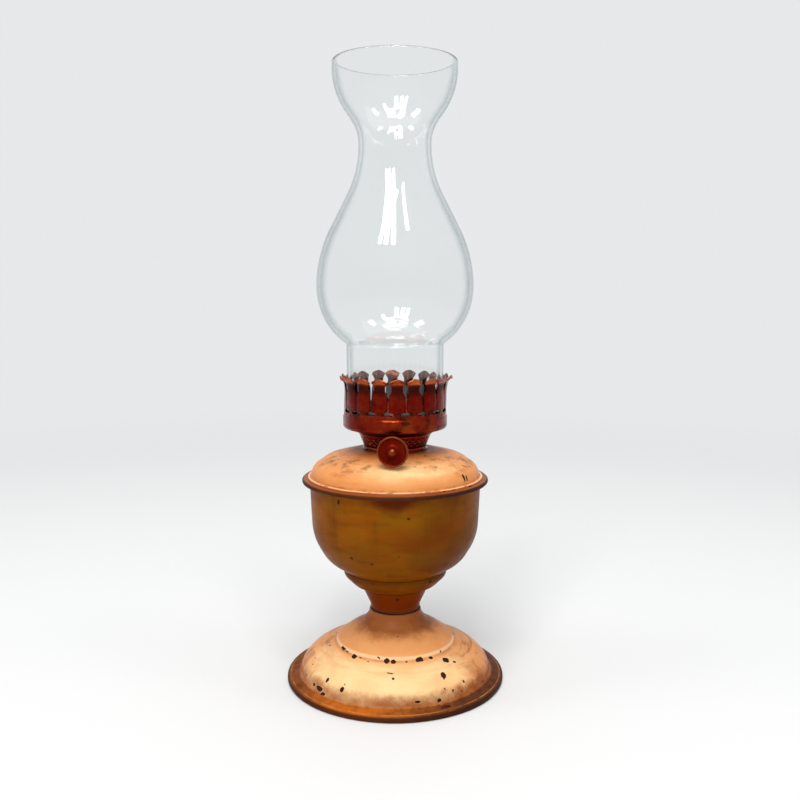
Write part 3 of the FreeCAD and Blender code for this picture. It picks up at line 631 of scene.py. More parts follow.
def wick_cotton(name, colours):
    """Flat woven cotton: warp ribs along the wick, weft across, charred towards its top."""
    material, shader, vector = fresh_material(name)
    warp = node(vector.tree, "TexWave", {"Vector": vector, "Scale": 190.0, "Distortion": 1.2, "Detail": 2.0,
                                         "Detail Scale": 3.0}, bands_direction="Y")
    weft = node(vector.tree, "TexWave", {"Vector": vector, "Scale": 260.0, "Distortion": 0.8}, bands_direction="Z")
    weave = Signal(warp.outputs["Fac"]) * (0.6 + Signal(weft.outputs["Fac"]) * 0.4)
    level = vector.part("Z") + vector.noise(500.0) * (2 * MM)
    char = level.ramp((top_of("wick") - 3.5) * MM, (top_of("wick") - 0.5) * MM)
    colour = char.blend(weave.blend(colours.wick_shade, colours.wick), colours.soot)
    wire(shader, Base_Color=colour, Roughness=0.9, Normal=relief(weave, 0.15))
    return material


def clear_glass(name, colours):
    """Blown glass: clear, with a faint haze of dust, slow waves in its surface and a deeper tint at its edges."""
    material, shader, vector = fresh_material(name)
    grazing = Signal(node(vector.tree, "LayerWeight", {"Blend": 0.5}).outputs["Facing"])
    tint = grazing.ramp(0.52, 0.84).blend(colours.glass, colours.glass_edge)
    dust = clouds(vector, scale=60.0, detail=6.0, low=0.45, high=0.8)
    wire(shader, Base_Color=tint, Roughness=dust * 0.008, Transmission_Weight=1.0,
         Normal=relief(vector.noise(26.0, detail=1.0), 0.17), IOR=1.5)
    return material


# ---- settings --------------------------------------------------------------------------------------------------
def paint_colour(label, default, words):
    """A colour setting with its name, its default and its description."""
    return FloatVectorProperty(name=label, description=words, subtype="COLOR", size=3, min=0.0, max=1.0,
                               default=default)


class LampColours(PropertyGroup):
    """The colours of the lamp's finishes, as linear light."""
    cream: paint_colour("Cream", (0.94, 0.64, 0.32), "Cream paint of the foot and the font's top")
    # Warm streaks; also painted shade under the bowl and away from the lit spot, and a painted highlight along the
    # rolled edge.
    cream_warm_and_painted_light: paint_colour("Warm cream", (0.76, 0.29, 0.085), "Warmer streaks in the cream paint")
    # Stained patches, which grow into painted shade away from the lit spot.
    cream_shade: paint_colour("Stained cream", (0.60, 0.22, 0.06), "Stained patches of the cream paint")
    # Lifted paint round the chips, and a painted highlight along the ridge and the bead.
    cream_highlight_and_lifted: paint_colour("Lifted cream", (0.95, 0.70, 0.42), "Lifted paint round a chip and along a ridge")
    # Stain; also painted shade in the hollows, under the bowl, near the foot's rim and under the burner.
    stain_and_shade: paint_colour("Stain", (0.29, 0.062, 0.005), "Orange-brown stain in the cream paint")
    smudge: paint_colour("Smudge", (0.11, 0.024, 0.003), "Small brown smudges in the cream paint")
    seam: paint_colour("Seam", (0.24, 0.050, 0.008), "Channel of the font's seam")
    ochre: paint_colour("Ochre", (0.33, 0.100, 0.001), "Ochre paint of the bowl")
    ochre_brown: paint_colour("Brown ochre", (0.25, 0.062, 0.001), "Browner clouds in the ochre paint")
    ochre_olive: paint_colour("Olive ochre", (0.22, 0.086, 0.001), "Olive clouds in the ochre paint")
    # Dark runs; also painted shade on the +X side and under the flange.
    ochre_dark_and_shade: paint_colour("Dark ochre", (0.085, 0.019, 0.001), "Dark runs in the ochre paint")
    ochre_red: paint_colour("Red ochre", (0.18, 0.019, 0.001), "Redder paint of the stem")
    stain_red: paint_colour("Red stain", (0.09, 0.006, 0.001), "Dark red stain under the seam")
    rust_dark: paint_colour("Dark rust", (0.028, 0.006, 0.002), "Deep rust of bare tinplate")
    rust_light: paint_colour("Light rust", (0.095, 0.027, 0.007), "Lighter rust of bare tinplate")
    rust_orange: paint_colour("Orange rust", (0.48, 0.12, 0.011), "Orange rust of the foot's rim")
    tarnish: paint_colour("Tarnish", (0.21, 0.014, 0.003), "Heat-tarnished brass")
    tarnish_red: paint_colour("Red tarnish", (0.14, 0.003, 0.001), "Redder parts of the tarnish")
    amber: paint_colour("Amber", (0.30, 0.062, 0.008), "Brass that kept some of its yellow")
    # Soot and char; also the painted shade at the gallery's roots, necks and prong edges.
    soot: paint_colour("Soot", (0.016, 0.004, 0.003), "Soot and char")
    # Rubbed edges, and a painted highlight on the gallery's heads, the basket's hole rims and the wheel's rim.
    copper: paint_colour("Rubbed edges", (0.62, 0.17, 0.05), "Bright metal on the rubbed edges")
    wick: paint_colour("Wick", (0.62, 0.54, 0.40), "Cotton of the wick")
    wick_shade: paint_colour("Wick shade", (0.36, 0.29, 0.19), "Hollows of the wick's weave")
    glass: paint_colour("Glass", (0.95, 0.965, 0.965), "Tint of the chimney")
    glass_edge: paint_colour("Glass edge", (0.27, 0.36, 0.36), "Tint of the chimney where it is seen edge-on")


class LampDetail(PropertyGroup):
    """How finely the lamp's surfaces are made."""
    sides: IntProperty(name="Sides", description="Points round each spun piece", default=288, min=32, max=720)
    groove_depth: FloatProperty(name="Groove depth", description="Depth of the thumb wheel's grooves, in millimetres",
                                default=0.16, min=0.0, max=0.5)


class StageSettings(PropertyGroup):
    """The floor, the lights and the camera."""
    floor: paint_colour("Floor", (0.80, 0.81, 0.82), "Colour of the floor and the background")
    key: FloatProperty(name="Window light", description="Power of the windows for each square metre", default=40.0,
                       min=0.0, unit="POWER")
    fill: FloatProperty(name="Soft light", description="Power of the overhead soft light", default=2.6,
                        min=0.0, unit="POWER")
    sky: FloatProperty(name="Room light", description="Strength of the even light from all round", default=0.50,
                       min=0.0)
    lens: FloatProperty(name="Lens", description="Focal length on a 36 mm sensor, in millimetres", default=41.14,
                        min=10.0)
    distance: FloatProperty(name="Distance", description="Camera to the lamp's axis, along the floor",
                            default=0.375, unit="LENGTH")
    height: FloatProperty(name="Height", description="Camera above the floor", default=0.1651, unit="LENGTH")
    pitch: FloatProperty(name="Pitch", description="Camera's tilt below the horizon", subtype="ANGLE",
                         default=math.radians(7.106))
    azimuth: FloatProperty(name="Azimuth", description="Camera's turn about the lamp", subtype="ANGLE",
                           default=math.radians(9.6))
    aside: FloatProperty(name="Aside", description="Camera's aim to the right of the lamp's axis", subtype="ANGLE",
                         default=math.radians(0.31))


# ---- foot, stem and font ---------------------------------------------------------------------------------------
# Chips in the paint: bearing in degrees, radius, height, width, length, tilt in degrees.
FOOT_CHIPS = [
    (-140, 24.9, 16.6, 3.6, 1.5, 0), (-133, 25.0, 16.3, 2.6, 0.5, 0), (-121, 25.6, 15.8, 2.9, 2.0, 15),
    (-114, 25.3, 16.0, 1.6, 0.5, 0), (-105, 26.2, 15.5, 1.0, 0.6, 0), (-96, 24.7, 17.1, 1.6, 0.7, 30),
    (-88, 25.2, 16.1, 2.2, 2.4, 0), (-82, 25.3, 15.9, 2.1, 2.1, 0), (-70, 25.4, 15.9, 1.1, 0.8, 0),
    (-58, 25.2, 16.0, 3.5, 2.3, 0), (-46, 25.4, 15.8, 2.0, 1.4, 0), (-32, 24.8, 16.7, 0.8, 1.0, 0),
    (-35, 28.7, 14.6, 3.0, 3.2, 20), (-30, 31.3, 13.7, 1.6, 1.2, 0), (-47, 34.7, 12.0, 2.4, 3.7, 25),
    (-126, 37.9, 9.0, 1.5, 2.4, 0), (-113, 38.9, 7.8, 1.7, 2.5, 10), (-130, 40.0, 5.2, 4.2, 2.2, 0),
    (-126, 40.6, 4.2, 3.2, 1.4, 0), (-136, 40.0, 5.4, 1.6, 1.6, 0), (-147, 39.5, 6.3, 0.9, 1.1, 0),
    (-148, 36.8, 10.2, 0.8, 0.5, 0), (-152, 35.0, 11.6, 0.9, 0.6, 0), (-84, 31.1, 13.7, 3.2, 0.7, 10),
    (-68, 39.7, 5.6, 2.6, 0.9, 0), (-50, 38.5, 8.3, 0.6, 1.2, -30), (-45, 39.3, 7.0, 0.7, 1.5, 20),
    (-35, 38.4, 8.5, 1.0, 1.6, 0), (-39, 39.7, 5.8, 0.9, 0.6, 0), (-55, 39.9, 4.8, 1.9, 1.5, 0),
    (-53, 42.6, 3.0, 5.5, 1.8, 0), (-17, 40.2, 4.4, 1.2, 1.2, 0), (-29, 14.1, 24.4, 0.8, 0.6, 0),
    (-77, 16.5, 23.0, 0.7, 0.8, 0), (20, 25.2, 16.1, 3.0, 1.2, 0), (48, 33.5, 12.6, 1.4, 1.0, 20),
    (75, 39.2, 7.2, 2.2, 1.4, 0), (120, 25.3, 15.9, 2.4, 1.0, 0), (150, 37.0, 9.9, 1.8, 2.0, 20),
    (165, 25.2, 16.1, 1.6, 0.8, 0),
]
BOWL_CHIPS = [
    (-119, 35.3, 81.9, 1.2, 2.4, 25), (-139, 33.1, 60.3, 0.9, 1.4, 20), (-97, 31.9, 57.8, 1.8, 1.0, -20),
    (-72, 35.1, 76.9, 1.1, 1.0, 0), (-138, 34.7, 68.5, 0.6, 0.9, 0), (-78, 33.5, 61.5, 0.7, 0.6, 0),
    (40, 35.2, 78, 1.6, 2.2, 0), (150, 33.0, 60, 2.0, 1.4, 0),
]
CUP_CHIPS = [(-39, 21.6, 46.1, 2.0, 1.0, 0), (-104, 21.6, 46.3, 0.8, 0.6, 0), (60, 21.6, 46, 2.0, 1.2, 0)]
TOP_CHIPS = [
    (-28, 34.2, 90.1, 1.4, 3.8, -12), (-25, 34.4, 89.5, 1.1, 2.6, 0), (-42, 36.5, 86.9, 3.0, 0.5, 0),
    (-49, 36.4, 86.9, 1.6, 0.5, 0), (-26, 36.6, 86.7, 3.4, 0.6, 0), (-16, 31.2, 93.2, 0.5, 4.2, -50),
    (-10, 32.0, 92.6, 0.4, 2.6, -40), (-142, 25.8, 95.7, 0.9, 0.7, 0), (30, 33.0, 91.6, 1.6, 1.2, 0),
    (140, 30.0, 94.0, 1.4, 1.1, 0),
]


def foot_corners():
    """The foot's outline: rolled rim, dome, step and neck."""
    radius, top = radius_of("foot"), top_of("foot")
    dome = (radius - 5.6, 3.8, 1.2)
    step, crest, neck = (25.2, 15.9, 0.7), (24.3, 17.9, 1.3), (10.8, top, 0)
    return [(radius - 3.4, 0, 0), (radius, 0, 1.05), (radius, 2.2, 1.05), dome,
            between(dome, step, 0.065, 0.31, 6.0), between(dome, step, 0.36, 0.71, 12.0), step, crest,
            between(crest, neck, 0.40, 0.33, 14.0), between(crest, neck, 0.79, 0.57, 3.5),
            between(crest, neck, 0.97, 0.83, 4.0), neck]


def bowl_corners():
    """The bowl's outline: flat floor, round hip and nearly upright side, with its flange turned out."""
    top = top_of("font_bowl") - FONT_SHEET
    floor = (17.0, foot_of("font_bowl"), 2.0)
    shoulder = (radius_of("font_bowl") - 2.1, top, 0.7)
    return [(0, floor[1], 0), floor, between(floor, shoulder, 0.63, 0.19, 14.0),
            between(floor, shoulder, 0.943, 0.43, 22.0), shoulder, (radius_of("font_bowl"), top, 0)]


def cup_corners():
    """The stem cup's outline: neck, cone, step and rim."""
    neck = (10.4, foot_of("stem_cup"), 0)
    rim = (radius_of("stem_cup"), top_of("stem_cup"), 0)
    return [neck, (neck[0], neck[1] + 1.2, 1.5), between(neck, rim, 0.315, 0.534, 0.8),
            between(neck, rim, 0.63, 0.628, 3.0), between(neck, rim, 1.0, 0.88, 2.5), rim]


def font_top_corners():
    """The font top's outline: seam rolled under the flange, channel, bead, dome and flat."""
    seam, foot, flat_height = radius_of("font_top"), foot_of("font_top"), top_of("font_top")
    seam_top = foot + 1.7
    dome = (seam - 3.6, seam_top + 0.6, 0.5)
    flat = (16.0, flat_height, 12.0)
    return [(seam - 1.6, foot, 0), (seam, foot, 0.75), (seam, seam_top, 0.75), (seam - 1.8, seam_top, 0.6),
            (seam - 2.7, seam_top + 1.1, 0.55), dome, between(dome, flat, 0.04, 0.36, 5.0),
            between(dome, flat, 0.36, 0.73, 9.0), flat, (12.15, flat_height, 0)]


class LAMP_OT_foot(Operator):
    """Builds the rolled and painted foot"""
    bl_idname = "lamp.foot"
    bl_label = "Foot"

    def execute(self, context):
        colours = context.scene.lamp_colours

        def wobble(radius, height, bearing):
            """Ripples move the radius by up to 0.12 mm towards the rim. They move the height by up to 0.10 mm, and
            fade in from 2.7 mm to 5.7 mm above the floor."""
            rim, raised = np.clip((radius - 40) / 6, 0, 1), np.clip(height / 3 - 0.9, 0, 1)
            return (radius + 0.12 * rim * ripples(bearing, height, 3, waves=9),
                    height + 0.10 * ripples(bearing, height, 4) * raised)
        piece = spun("painted_foot", section(foot_corners(), FOOT_SHEET), context.scene.lamp_detail.sides, wobble)
        # Painted shade under the bowl: warmer on the upper cone and orange-brown at the neck; and painted shade in
        # orange-brown near the rim.
        bands = [(colours.cream_warm_and_painted_light, 0.85, 29, 24, 3), (colours.stain_and_shade, 1.0, 20.5, 13, 12),
                 (colours.stain_and_shade, 0.95, 37.6, 40.4, 5)]
        paint = cream_paint("foot_cream", colours, FOOT_CHIPS, bands, bare_zone=(40.2, 41.2, radius_of("foot")),
                            roam=3.0, lit_spot=(2, -41, 8), shade_and_age_from=27, lit_line=(24.7, 0.45))
        stand_in(piece, "foot", "font", paint)
        return {"FINISHED"}


class LAMP_OT_bowl(Operator):
    """Builds the ochre bowl and the stem cup under it"""
    bl_idname = "lamp.bowl"
    bl_label = "Bowl and stem cup"

    def execute(self, context):
        def wobble(radius, height, bearing):
            """Ripples of up to 0.12 mm and two dents are taken off the radius, and fade in from 10 mm to 20 mm out."""
            hollows = dents(bearing, height, [(-62, 62, 7, 0.25), (-110, 70, 9, 0.2)])
            depth = 0.12 * ripples(bearing, height, 7) + hollows
            return radius - depth * np.clip(radius / 10 - 1, 0, 1), height
        for name, solid, corners, marks, unevenness in (
                ("painted_bowl", "font_bowl", bowl_corners(), BOWL_CHIPS, wobble),
                ("painted_stem_cup", "stem_cup", cup_corners(), CUP_CHIPS, None)):
            piece = spun(name, section(corners, FONT_SHEET), context.scene.lamp_detail.sides, unevenness)
            paint = ochre_paint(name + "_ochre", context.scene.lamp_colours, marks, stain_spot=(6, -36, 86))
            stand_in(piece, solid, "font", paint)
        return {"FINISHED"}


class LAMP_OT_font_top(Operator):
    """Builds the domed top of the font with its bead and seam"""
    bl_idname = "lamp.font_top"
    bl_label = "Font top"

    def execute(self, context):
        colours = context.scene.lamp_colours
        seam = radius_of("font_top")

        def wobble(radius, height, bearing):
            """Ripples move the height by up to 0.08 mm, and fade out from radius 28 mm to 34 mm, before the bead."""
            return radius, height + 0.08 * ripples(bearing, radius, 11) * np.clip((34 - radius) / 6, 0, 1)
        loop = section(font_top_corners(), FONT_SHEET, 0.6)
        piece = spun("painted_font_top", loop, context.scene.lamp_detail.sides, wobble)
        # Warmer towards the collar; stain with painted shade under the burner; a warmer band above the bead; and the
        # seam's channel.
        bands = [(colours.cream_warm_and_painted_light, 0.7, 32, 23, 6), (colours.stain_and_shade, 0.9, 27.5, 17, 8),
                 (colours.cream_warm_and_painted_light, 0.8, seam - 7.5, seam - 4.3, 3), (colours.seam, 1.0, seam - 2.6, seam - 2.2, 0.5)]
        paint = cream_paint("font_cream", colours, TOP_CHIPS, bands, bare_zone=(seam - 0.8, seam - 0.35, seam),
                            roam=0.5, lit_spot=(9, -29, top_of("font_top")), shade_and_age_from=3,
                            lit_line=(seam - 2.85, 0.55), soiled=(26.0, 5.5, 0.6))
        stand_in(piece, "font_top", "font", paint)
        return {"FINISHED"}


# ---- burner ----------------------------------------------------------------------------------------------------
BAND_RADIUS, WALL_RADIUS, GRIP_RADIUS = 21.5, 21.1, 20.7
ROOT_RISE = 8.0         # from the band's inner foot to the prongs' roots
PRONGS = 18
PRONG_TURN = -98.2      # bearing of one prong, in degrees
PITCH = FULL_TURN / PRONGS
WEB_INSET = 2.3         # how much narrower than half the pitch half a prong's root is
WEB_STEPS = 10          # faces across a prong
SLOT_STEPS = 8          # faces across the gap between two prongs' roots
SLOT_DEPTH = 1.2        # how far the slot goes down below the roots
DOT_RISE, DOT_DEPTH, DOT_RADIUS = 6.5, 0.35, 0.45       # the ring of dots pressed into the band
# How each prong has been bent since it was new: outward lean, sideways lean and twist, in degrees.
PRONG_BENDS = [(-1, 1, 3), (0, 0, -2), (-1, -1, -5), (0, 2, 6), (3, -2, 4), (5, 1, 8), (1, 2, 0), (-1, 1, -5),
               (0, -2, 3), (2, 1, 6), (-1, 2, 0), (1, -2, -6), (2, 2, 4), (-1, 0, 2), (1, -2, -3), (4, 2, 7),
               (3, -2, -6), (0, 1, -4)]


def crown_corners():
    """The gallery's outline: plate, sloping flange, chimney seat, rolled band and the wall that carries the prongs,
    with the height of the prongs' roots and the prongs' length."""
    plate, top = foot_of("gallery_crown"), top_of("gallery_crown")
    underside = plate + 2.1
    root = underside + BURNER_SHEET + ROOT_RISE
    length = top - root
    outline = [(12.9, plate, 0), (radius_of("air_basket") + 0.2, plate, 0.6), (18.4, underside, 0.8),
               (BAND_RADIUS, underside, 1.4), (BAND_RADIUS, underside + 5.0, 0.6),
               (WALL_RADIUS, underside + 5.7, 0.6), (WALL_RADIUS, root + 0.24 * length, 6.0),
               (GRIP_RADIUS, root + 0.60 * length, 5.0), (GRIP_RADIUS, root + 0.78 * length, 2.0),
               (GRIP_RADIUS + 1.5, top, 0)]
    return outline, root, length


def prong_half_width(share):
    """Half the width of a prong, in millimetres, at a share of its length above its root: a narrow web, then a body
    of almost the whole pitch with round shoulders, a neck, and a head that rounds off at the tip."""
    half_pitch = PITCH * WALL_RADIUS / 2
    web, body, neck, head = (half_pitch - less for less in (WEB_INSET, 0.25, 1.5, 0.4))
    shares = [-0.12, -0.015, 0.015, 0.36, 0.46, 0.53, 0.60, 0.66, 0.71, 0.76, 0.80, 0.84, 0.88, 0.94, 1.0]
    widths = [web, web, body, body, body - 0.12, body - 0.42, neck + 0.35, neck + 0.06, neck, neck + 0.1,
              neck + 0.45, head - 0.25, head, head - 0.05, head - 0.5]
    return np.interp(share, shares, widths)


def gallery_ring(low, root, prongs):
    """The gallery below its slots, right round: its rows follow the outline, its columns are spread over each
    prong's web and each gap, and a dot is pressed in at each web and each gap."""
    web = (PITCH * WALL_RADIUS / 2 - WEB_INSET) / WALL_RADIUS
    columns = np.concatenate([np.linspace(-web, web, WEB_STEPS + 1),
                              np.linspace(web, PITCH - web, SLOT_STEPS + 1)[1:-1]])
    bearing = (prongs[:, None] + columns[None, :]).ravel()[None, :]
    radius, height = low[:, :1], low[:, 1:]
    aside = (bearing - prongs[0]) % (PITCH / 2)
    aside = np.minimum(aside, PITCH / 2 - aside) * WALL_RADIUS
    away = np.hypot(aside, height - (root - BURNER_SHEET - ROOT_RISE + DOT_RISE)) / DOT_RADIUS
    in_band = radius > BAND_RADIUS - 1.5
    dimple = DOT_DEPTH * np.clip(1.25 - away, 0, 1) * in_band
    return about_axis(radius - dimple, bearing, height)


def bent_prongs(high, share, prongs):
    """Each prong's points: across it by its half width, up it by the outline, then leant, skewed and twisted. Its
    tip is rounded, and it bellies outwards across its width."""
    lean, skew, twist = (np.radians(np.array(PRONG_BENDS, float))[:, k, None, None] for k in range(3))
    across = np.linspace(-1, 1, WEB_STEPS + 1)[None, None, :]
    radius, height = high[:, 0][None, :, None], high[:, 1][None, :, None]
    up = height - high[0, 1]
    share = share[None, :, None]
    offset = across * prong_half_width(share)
    tip = 1.5 * np.clip((share - 0.86) / 0.14, 0, 1) * across ** 2
    belly = np.interp(share, [0.0, 0.15, 0.5, 0.75, 0.85, 1.0], [42, 26, 26, 42, 30, 24])
    rise = np.clip(share / 0.9, 0, 1)
    out = radius - offset ** 2 / belly + up * np.sin(lean) * rise + offset * np.sin(twist) * rise
    side = offset * (1 - 0.5 * np.sin(twist) ** 2) + up * np.sin(skew) * rise
    height = height - tip - up * (1 - np.cos(lean)) * rise
    turn = prongs[:, None, None]
    return np.stack(np.broadcast_arrays(out * np.cos(turn) - side * np.sin(turn),
                                        out * np.sin(turn) + side * np.cos(turn), height), axis=-1)


class LAMP_OT_gallery(Operator):
    """Builds the gallery with its rolled band and sprung prongs"""
    bl_idname = "lamp.gallery"
    bl_label = "Gallery"

    def execute(self, context):
        outline, root, length = crown_corners()
        path = trace(outline, 0.32)
        is_low = path[:, 1] <= root - SLOT_DEPTH
        high = path[~is_low]
        prongs = math.radians(PRONG_TURN) + PITCH * np.arange(PRONGS)
        ring = gallery_ring(path[is_low], root, prongs)
        share = (high[:, 1] - root) / length
        fingers = bent_prongs(high, share, prongs)
        rows, around = ring.shape[:2]
        first, above, columns = rows * around, len(high), WEB_STEPS + 1
        faces = [grid_faces(rows, around, wrap_rows=False)]
        for k in range(PRONGS):
            lower = (rows - 1) * around + k * (WEB_STEPS + SLOT_STEPS) + np.arange(columns)
            own = first + k * above * columns + np.arange(above * columns).reshape(above, columns)
            grid = np.concatenate([lower[None], own])
            faces.append(np.stack([grid[:-1, :-1], grid[:-1, 1:], grid[1:, 1:], grid[1:, :-1]], -1).reshape(-1, 4))
        share = share[:, None]
        across = np.abs(np.linspace(-1, 1, columns))[None, :]
        # Painted shade stored on the points: dark at the roots, in the necks under the heads, and along the prongs'
        # edges below the heads.
        neck = np.interp(share, [0.0, 0.05, 0.45, 0.62, 0.78, 0.84], [0.5, 0.0, 0.0, 0.75, 0.8, 0.0])
        sooted = np.maximum(neck, 0.6 * np.clip(5 * across - 4, 0, 1) * (share < 0.8))
        # Painted highlight on the heads' tops and edges, stored as sharpness so that it turns copper.
        rubbed_and_highlight = 2.4 * np.interp(share, [0.79, 0.85], [0, 1]) * np.interp(across, [0, 0.9], [0.75, 1])
        points = np.concatenate([ring.reshape(-1, 3), fingers.reshape(-1, 3)])
        piece = new_piece("pronged_gallery", points, np.concatenate(faces), closed=False,
                          sharp=np.append(np.zeros(first), np.tile(rubbed_and_highlight.ravel(), PRONGS)),
                          sooted=np.append(np.zeros(first), np.tile(sooted.ravel(), PRONGS)))
        thicken(piece, BURNER_SHEET)
        brass = old_brass("gallery_brass", context.scene.lamp_colours, 0.7, inner_soot=0.6, coat=0.04, yellow=0.35)
        stand_in(piece, "gallery_crown", "burner", brass)
        return {"FINISHED"}


BASKET_HOLES = 32
BASKET_ROWS = 3
BASKET_FOOT_RADIUS = 12.9
BASKET_FLANGES = (10.7, 14.2)       # inner radius of the flange at the foot and at the top
HOLE_SHARE = 0.5                    # a hole's size against its cell's


def basket_mesh():
    """Diamond cells tile the cone: the corner grid is pitch/2 apart in bearing and one row apart in height, and each
    cell's hole is the cell shrunk about its middle. Half cells above and below are filled, and flanges close the
    ends. Returns the points, the faces, and how much rubbing and painted highlight each point has, most round the
    holes."""
    foot, top, high_radius = foot_of("air_basket"), top_of("air_basket"), radius_of("air_basket")
    columns = 2 * BASKET_HOLES
    angle, levels = bearings(columns), np.linspace(0.12, 0.9, BASKET_ROWS + 2)

    def on_cone(bearing, level):
        """A point of the cone: its radius and height go evenly from foot to top as the level goes from 0 to 1."""
        return about_axis(BASKET_FOOT_RADIUS + (high_radius - BASKET_FOOT_RADIUS) * level, bearing,
                          foot + (top - foot) * level)

    def quads(*sides):
        """Faces from their corners, each corner given as an array."""
        return np.stack(sides, axis=-1).reshape(-1, 4)
    corner = on_cone(*np.meshgrid(angle, levels)).reshape(-1, 3)
    points, faces, count = [corner], [], len(corner)
    for row in range(1, BASKET_ROWS + 1):
        middle = np.arange(BASKET_HOLES) * 2 + row % 2
        ring = quads((row - 1) * columns + middle, row * columns + (middle + 1) % columns,
                     (row + 1) * columns + middle, row * columns + (middle - 1) % columns)
        centre = corner[ring].mean(1, keepdims=True)
        inside = count + np.arange(ring.size).reshape(-1, 4)
        points.append((centre + (corner[ring] - centre) * HOLE_SHARE).reshape(-1, 3))
        faces.append(quads(ring, np.roll(ring, -1, axis=1), np.roll(inside, -1, axis=1), inside))
        count += ring.size
    # Painted highlight round the holes: the holes' own points get a high sharpness, which turns them copper.
    rubbed_and_highlight = np.where(np.arange(count) < len(corner), 0.0, 2.2)
    here = np.arange(columns)
    after = (here + 1) % columns
    for row, neighbour, level, flange in ((0, 1, 0.0, BASKET_FLANGES[0]),
                                          (BASKET_ROWS + 1, BASKET_ROWS, 1.0, BASKET_FLANGES[1])):
        middle = np.arange(BASKET_HOLES) * 2 + (neighbour + 1) % 2
        height = foot + (top - foot) * level
        points += [on_cone(angle, level), about_axis(flange, angle, height)]
        faces += [quads(row * columns + (middle - 1) % columns, neighbour * columns + middle,
                        row * columns + (middle + 1) % columns, row * columns + middle),
                  quads(row * columns + here, row * columns + after, count + after, count + here),
                  quads(count + here, count + after, count + columns + after, count + columns + here)]
        count += 2 * columns
    return np.concatenate(points), np.concatenate(faces), np.append(rubbed_and_highlight, np.zeros(count - len(rubbed_and_highlight)))


class LAMP_OT_basket(Operator):
    """Builds the perforated air basket"""
    bl_idname = "lamp.basket"
    bl_label = "Air basket"

    def execute(self, context):
        points, faces, rubbed_and_highlight = basket_mesh()
        piece = new_piece("perforated_basket", points, faces, sharp=rubbed_and_highlight)
        thicken(piece, BASKET_SHEET)
        brass = old_brass("basket_brass", context.scene.lamp_colours, 0.7)
        stand_in(piece, "air_basket", "burner", brass)
        return {"FINISHED"}


class LAMP_OT_inner_burner(Operator):
    """Gives the inner pieces of the burner their finish"""
    bl_idname = "lamp.inner_burner"
    bl_label = "Inner burner"

    def execute(self, context):
        colours = context.scene.lamp_colours
        brass = old_brass("inner_brass", colours, 0.0)
        for name in ("font_collar", "burner_base", "burner_floor", "flame_cone", "wick_tube", "rack_housing",
                     "spindle_sleeve", "vent_tube", "front_star_wheel", "rear_star_wheel"):
            dress(name, brass)
        dress("neck_ferrule", rusted_tin("joint_rust", colours))
        dress("spindle", dull_wire("spindle_wire", colours))
        dress("wheel_boss", dull_wire("boss_wire", colours))
        return {"FINISHED"}


WHEEL_SIDES, WHEEL_GROOVES = 480, 40
GROOVE_START, GROOVE_FADE = 5.75, 0.4       # radius where the grooves start, and how far they take to be full


def wheel_loop():
    """The thumb wheel's section, as (radius, distance along the spindle): dished middle, flat face, turned rim."""
    return trace([(1.35, -0.5, 0), (2.2, -0.5, 0.4), (3.2, 0, 0.4), (5.05, 0, 0.3), (5.55, -0.5, 0.3),
                  (6.15, -0.5, 0.3), (6.15, 1.2, 0.25), (5.55, 1.2, 0.2), (5.55, 0.6, 0.25),
                  (3.2, 0.6, 0.4), (2.2, 0.1, 0.4), (1.35, 0.1, 0)], 0.25)


class LAMP_OT_thumb_wheel(Operator):
    """Builds the dished thumb wheel with its grooved rim"""
    bl_idname = "lamp.thumb_wheel"
    bl_label = "Thumb wheel"

    def execute(self, context):
        # The section is turned about the spindle, and its radius sinks by the groove depth times a raised cosine of
        # the bearing times the number of grooves, which fades in over the rim.
        loop, bearing = wheel_loop(), bearings(WHEEL_SIDES)[None, :]
        rim = np.clip((loop[:, :1] - GROOVE_START) / GROOVE_FADE, 0, 1)
        groove = context.scene.lamp_detail.groove_depth * rim * (0.5 + 0.5 * np.cos(WHEEL_GROOVES * bearing))
        low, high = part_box("thumb_wheel")
        centre = ((low.x + high.x) / 2 / MM, low.y / MM + 0.5, (low.z + high.z) / 2 / MM)
        points = centre + about_axis(loop[:, :1] - groove, bearing, loop[:, 1:])[..., [0, 2, 1]]
        piece = new_piece("grooved_thumb_wheel", points, grid_faces(len(loop), WHEEL_SIDES),
                          sharp=np.repeat(bend_of(loop), WHEEL_SIDES))
        # The rim's convex edges get a copper painted highlight, and the whole wheel is darkened by grime.
        brass = old_brass("wheel_brass", context.scene.lamp_colours, 0.35, 0.55, coat=0.0, yellow=0.0, grime=0.28)
        stand_in(piece, "thumb_wheel", "raiser", brass)
        return {"FINISHED"}


def wick_points(low, high, around=160, rows=120):
    """A flattened loop carried up the wick: across it is half width times a steep cosine, through it half thickness
    times a steep sine, less up to 7% in the ribs of its warp, and the corners of its trimmed top are 0.35 mm lower.
    The first and the last row fold the ends flat."""
    half_width, half_thick = high.y / MM, high.x / MM
    cosine, sine = np.cos(bearings(around))[None, :], np.sin(bearings(around))[None, :]
    level = np.linspace(0, 1, rows)[:, None]
    across = half_width * np.sign(cosine) * np.abs(cosine) ** 0.55
    ribs = 1 - 0.07 * (0.5 + 0.5 * np.cos(across * 5.2))
    through = half_thick * np.sign(sine) * np.abs(sine) ** 0.4 * ribs
    height = low.z / MM + (high.z - low.z) / MM * level - 0.35 * level ** 8 * (across / half_width) ** 4
    body = np.stack(np.broadcast_arrays(through, across, height), axis=-1)
    return np.concatenate([body[:1] * [0, 1, 1], body, body[-1:] * [0, 1, 1]])


class LAMP_OT_wick(Operator):
    """Builds the flat cotton wick"""
    bl_idname = "lamp.wick"
    bl_label = "Wick"

    def execute(self, context):
        points = wick_points(*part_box("wick"))
        piece = new_piece("cotton_wick", points, grid_faces(*points.shape[:2], wrap_rows=False))
        cotton = wick_cotton("wick_cotton", context.scene.lamp_colours)
        stand_in(piece, "wick", "wick", cotton)
        return {"FINISHED"}


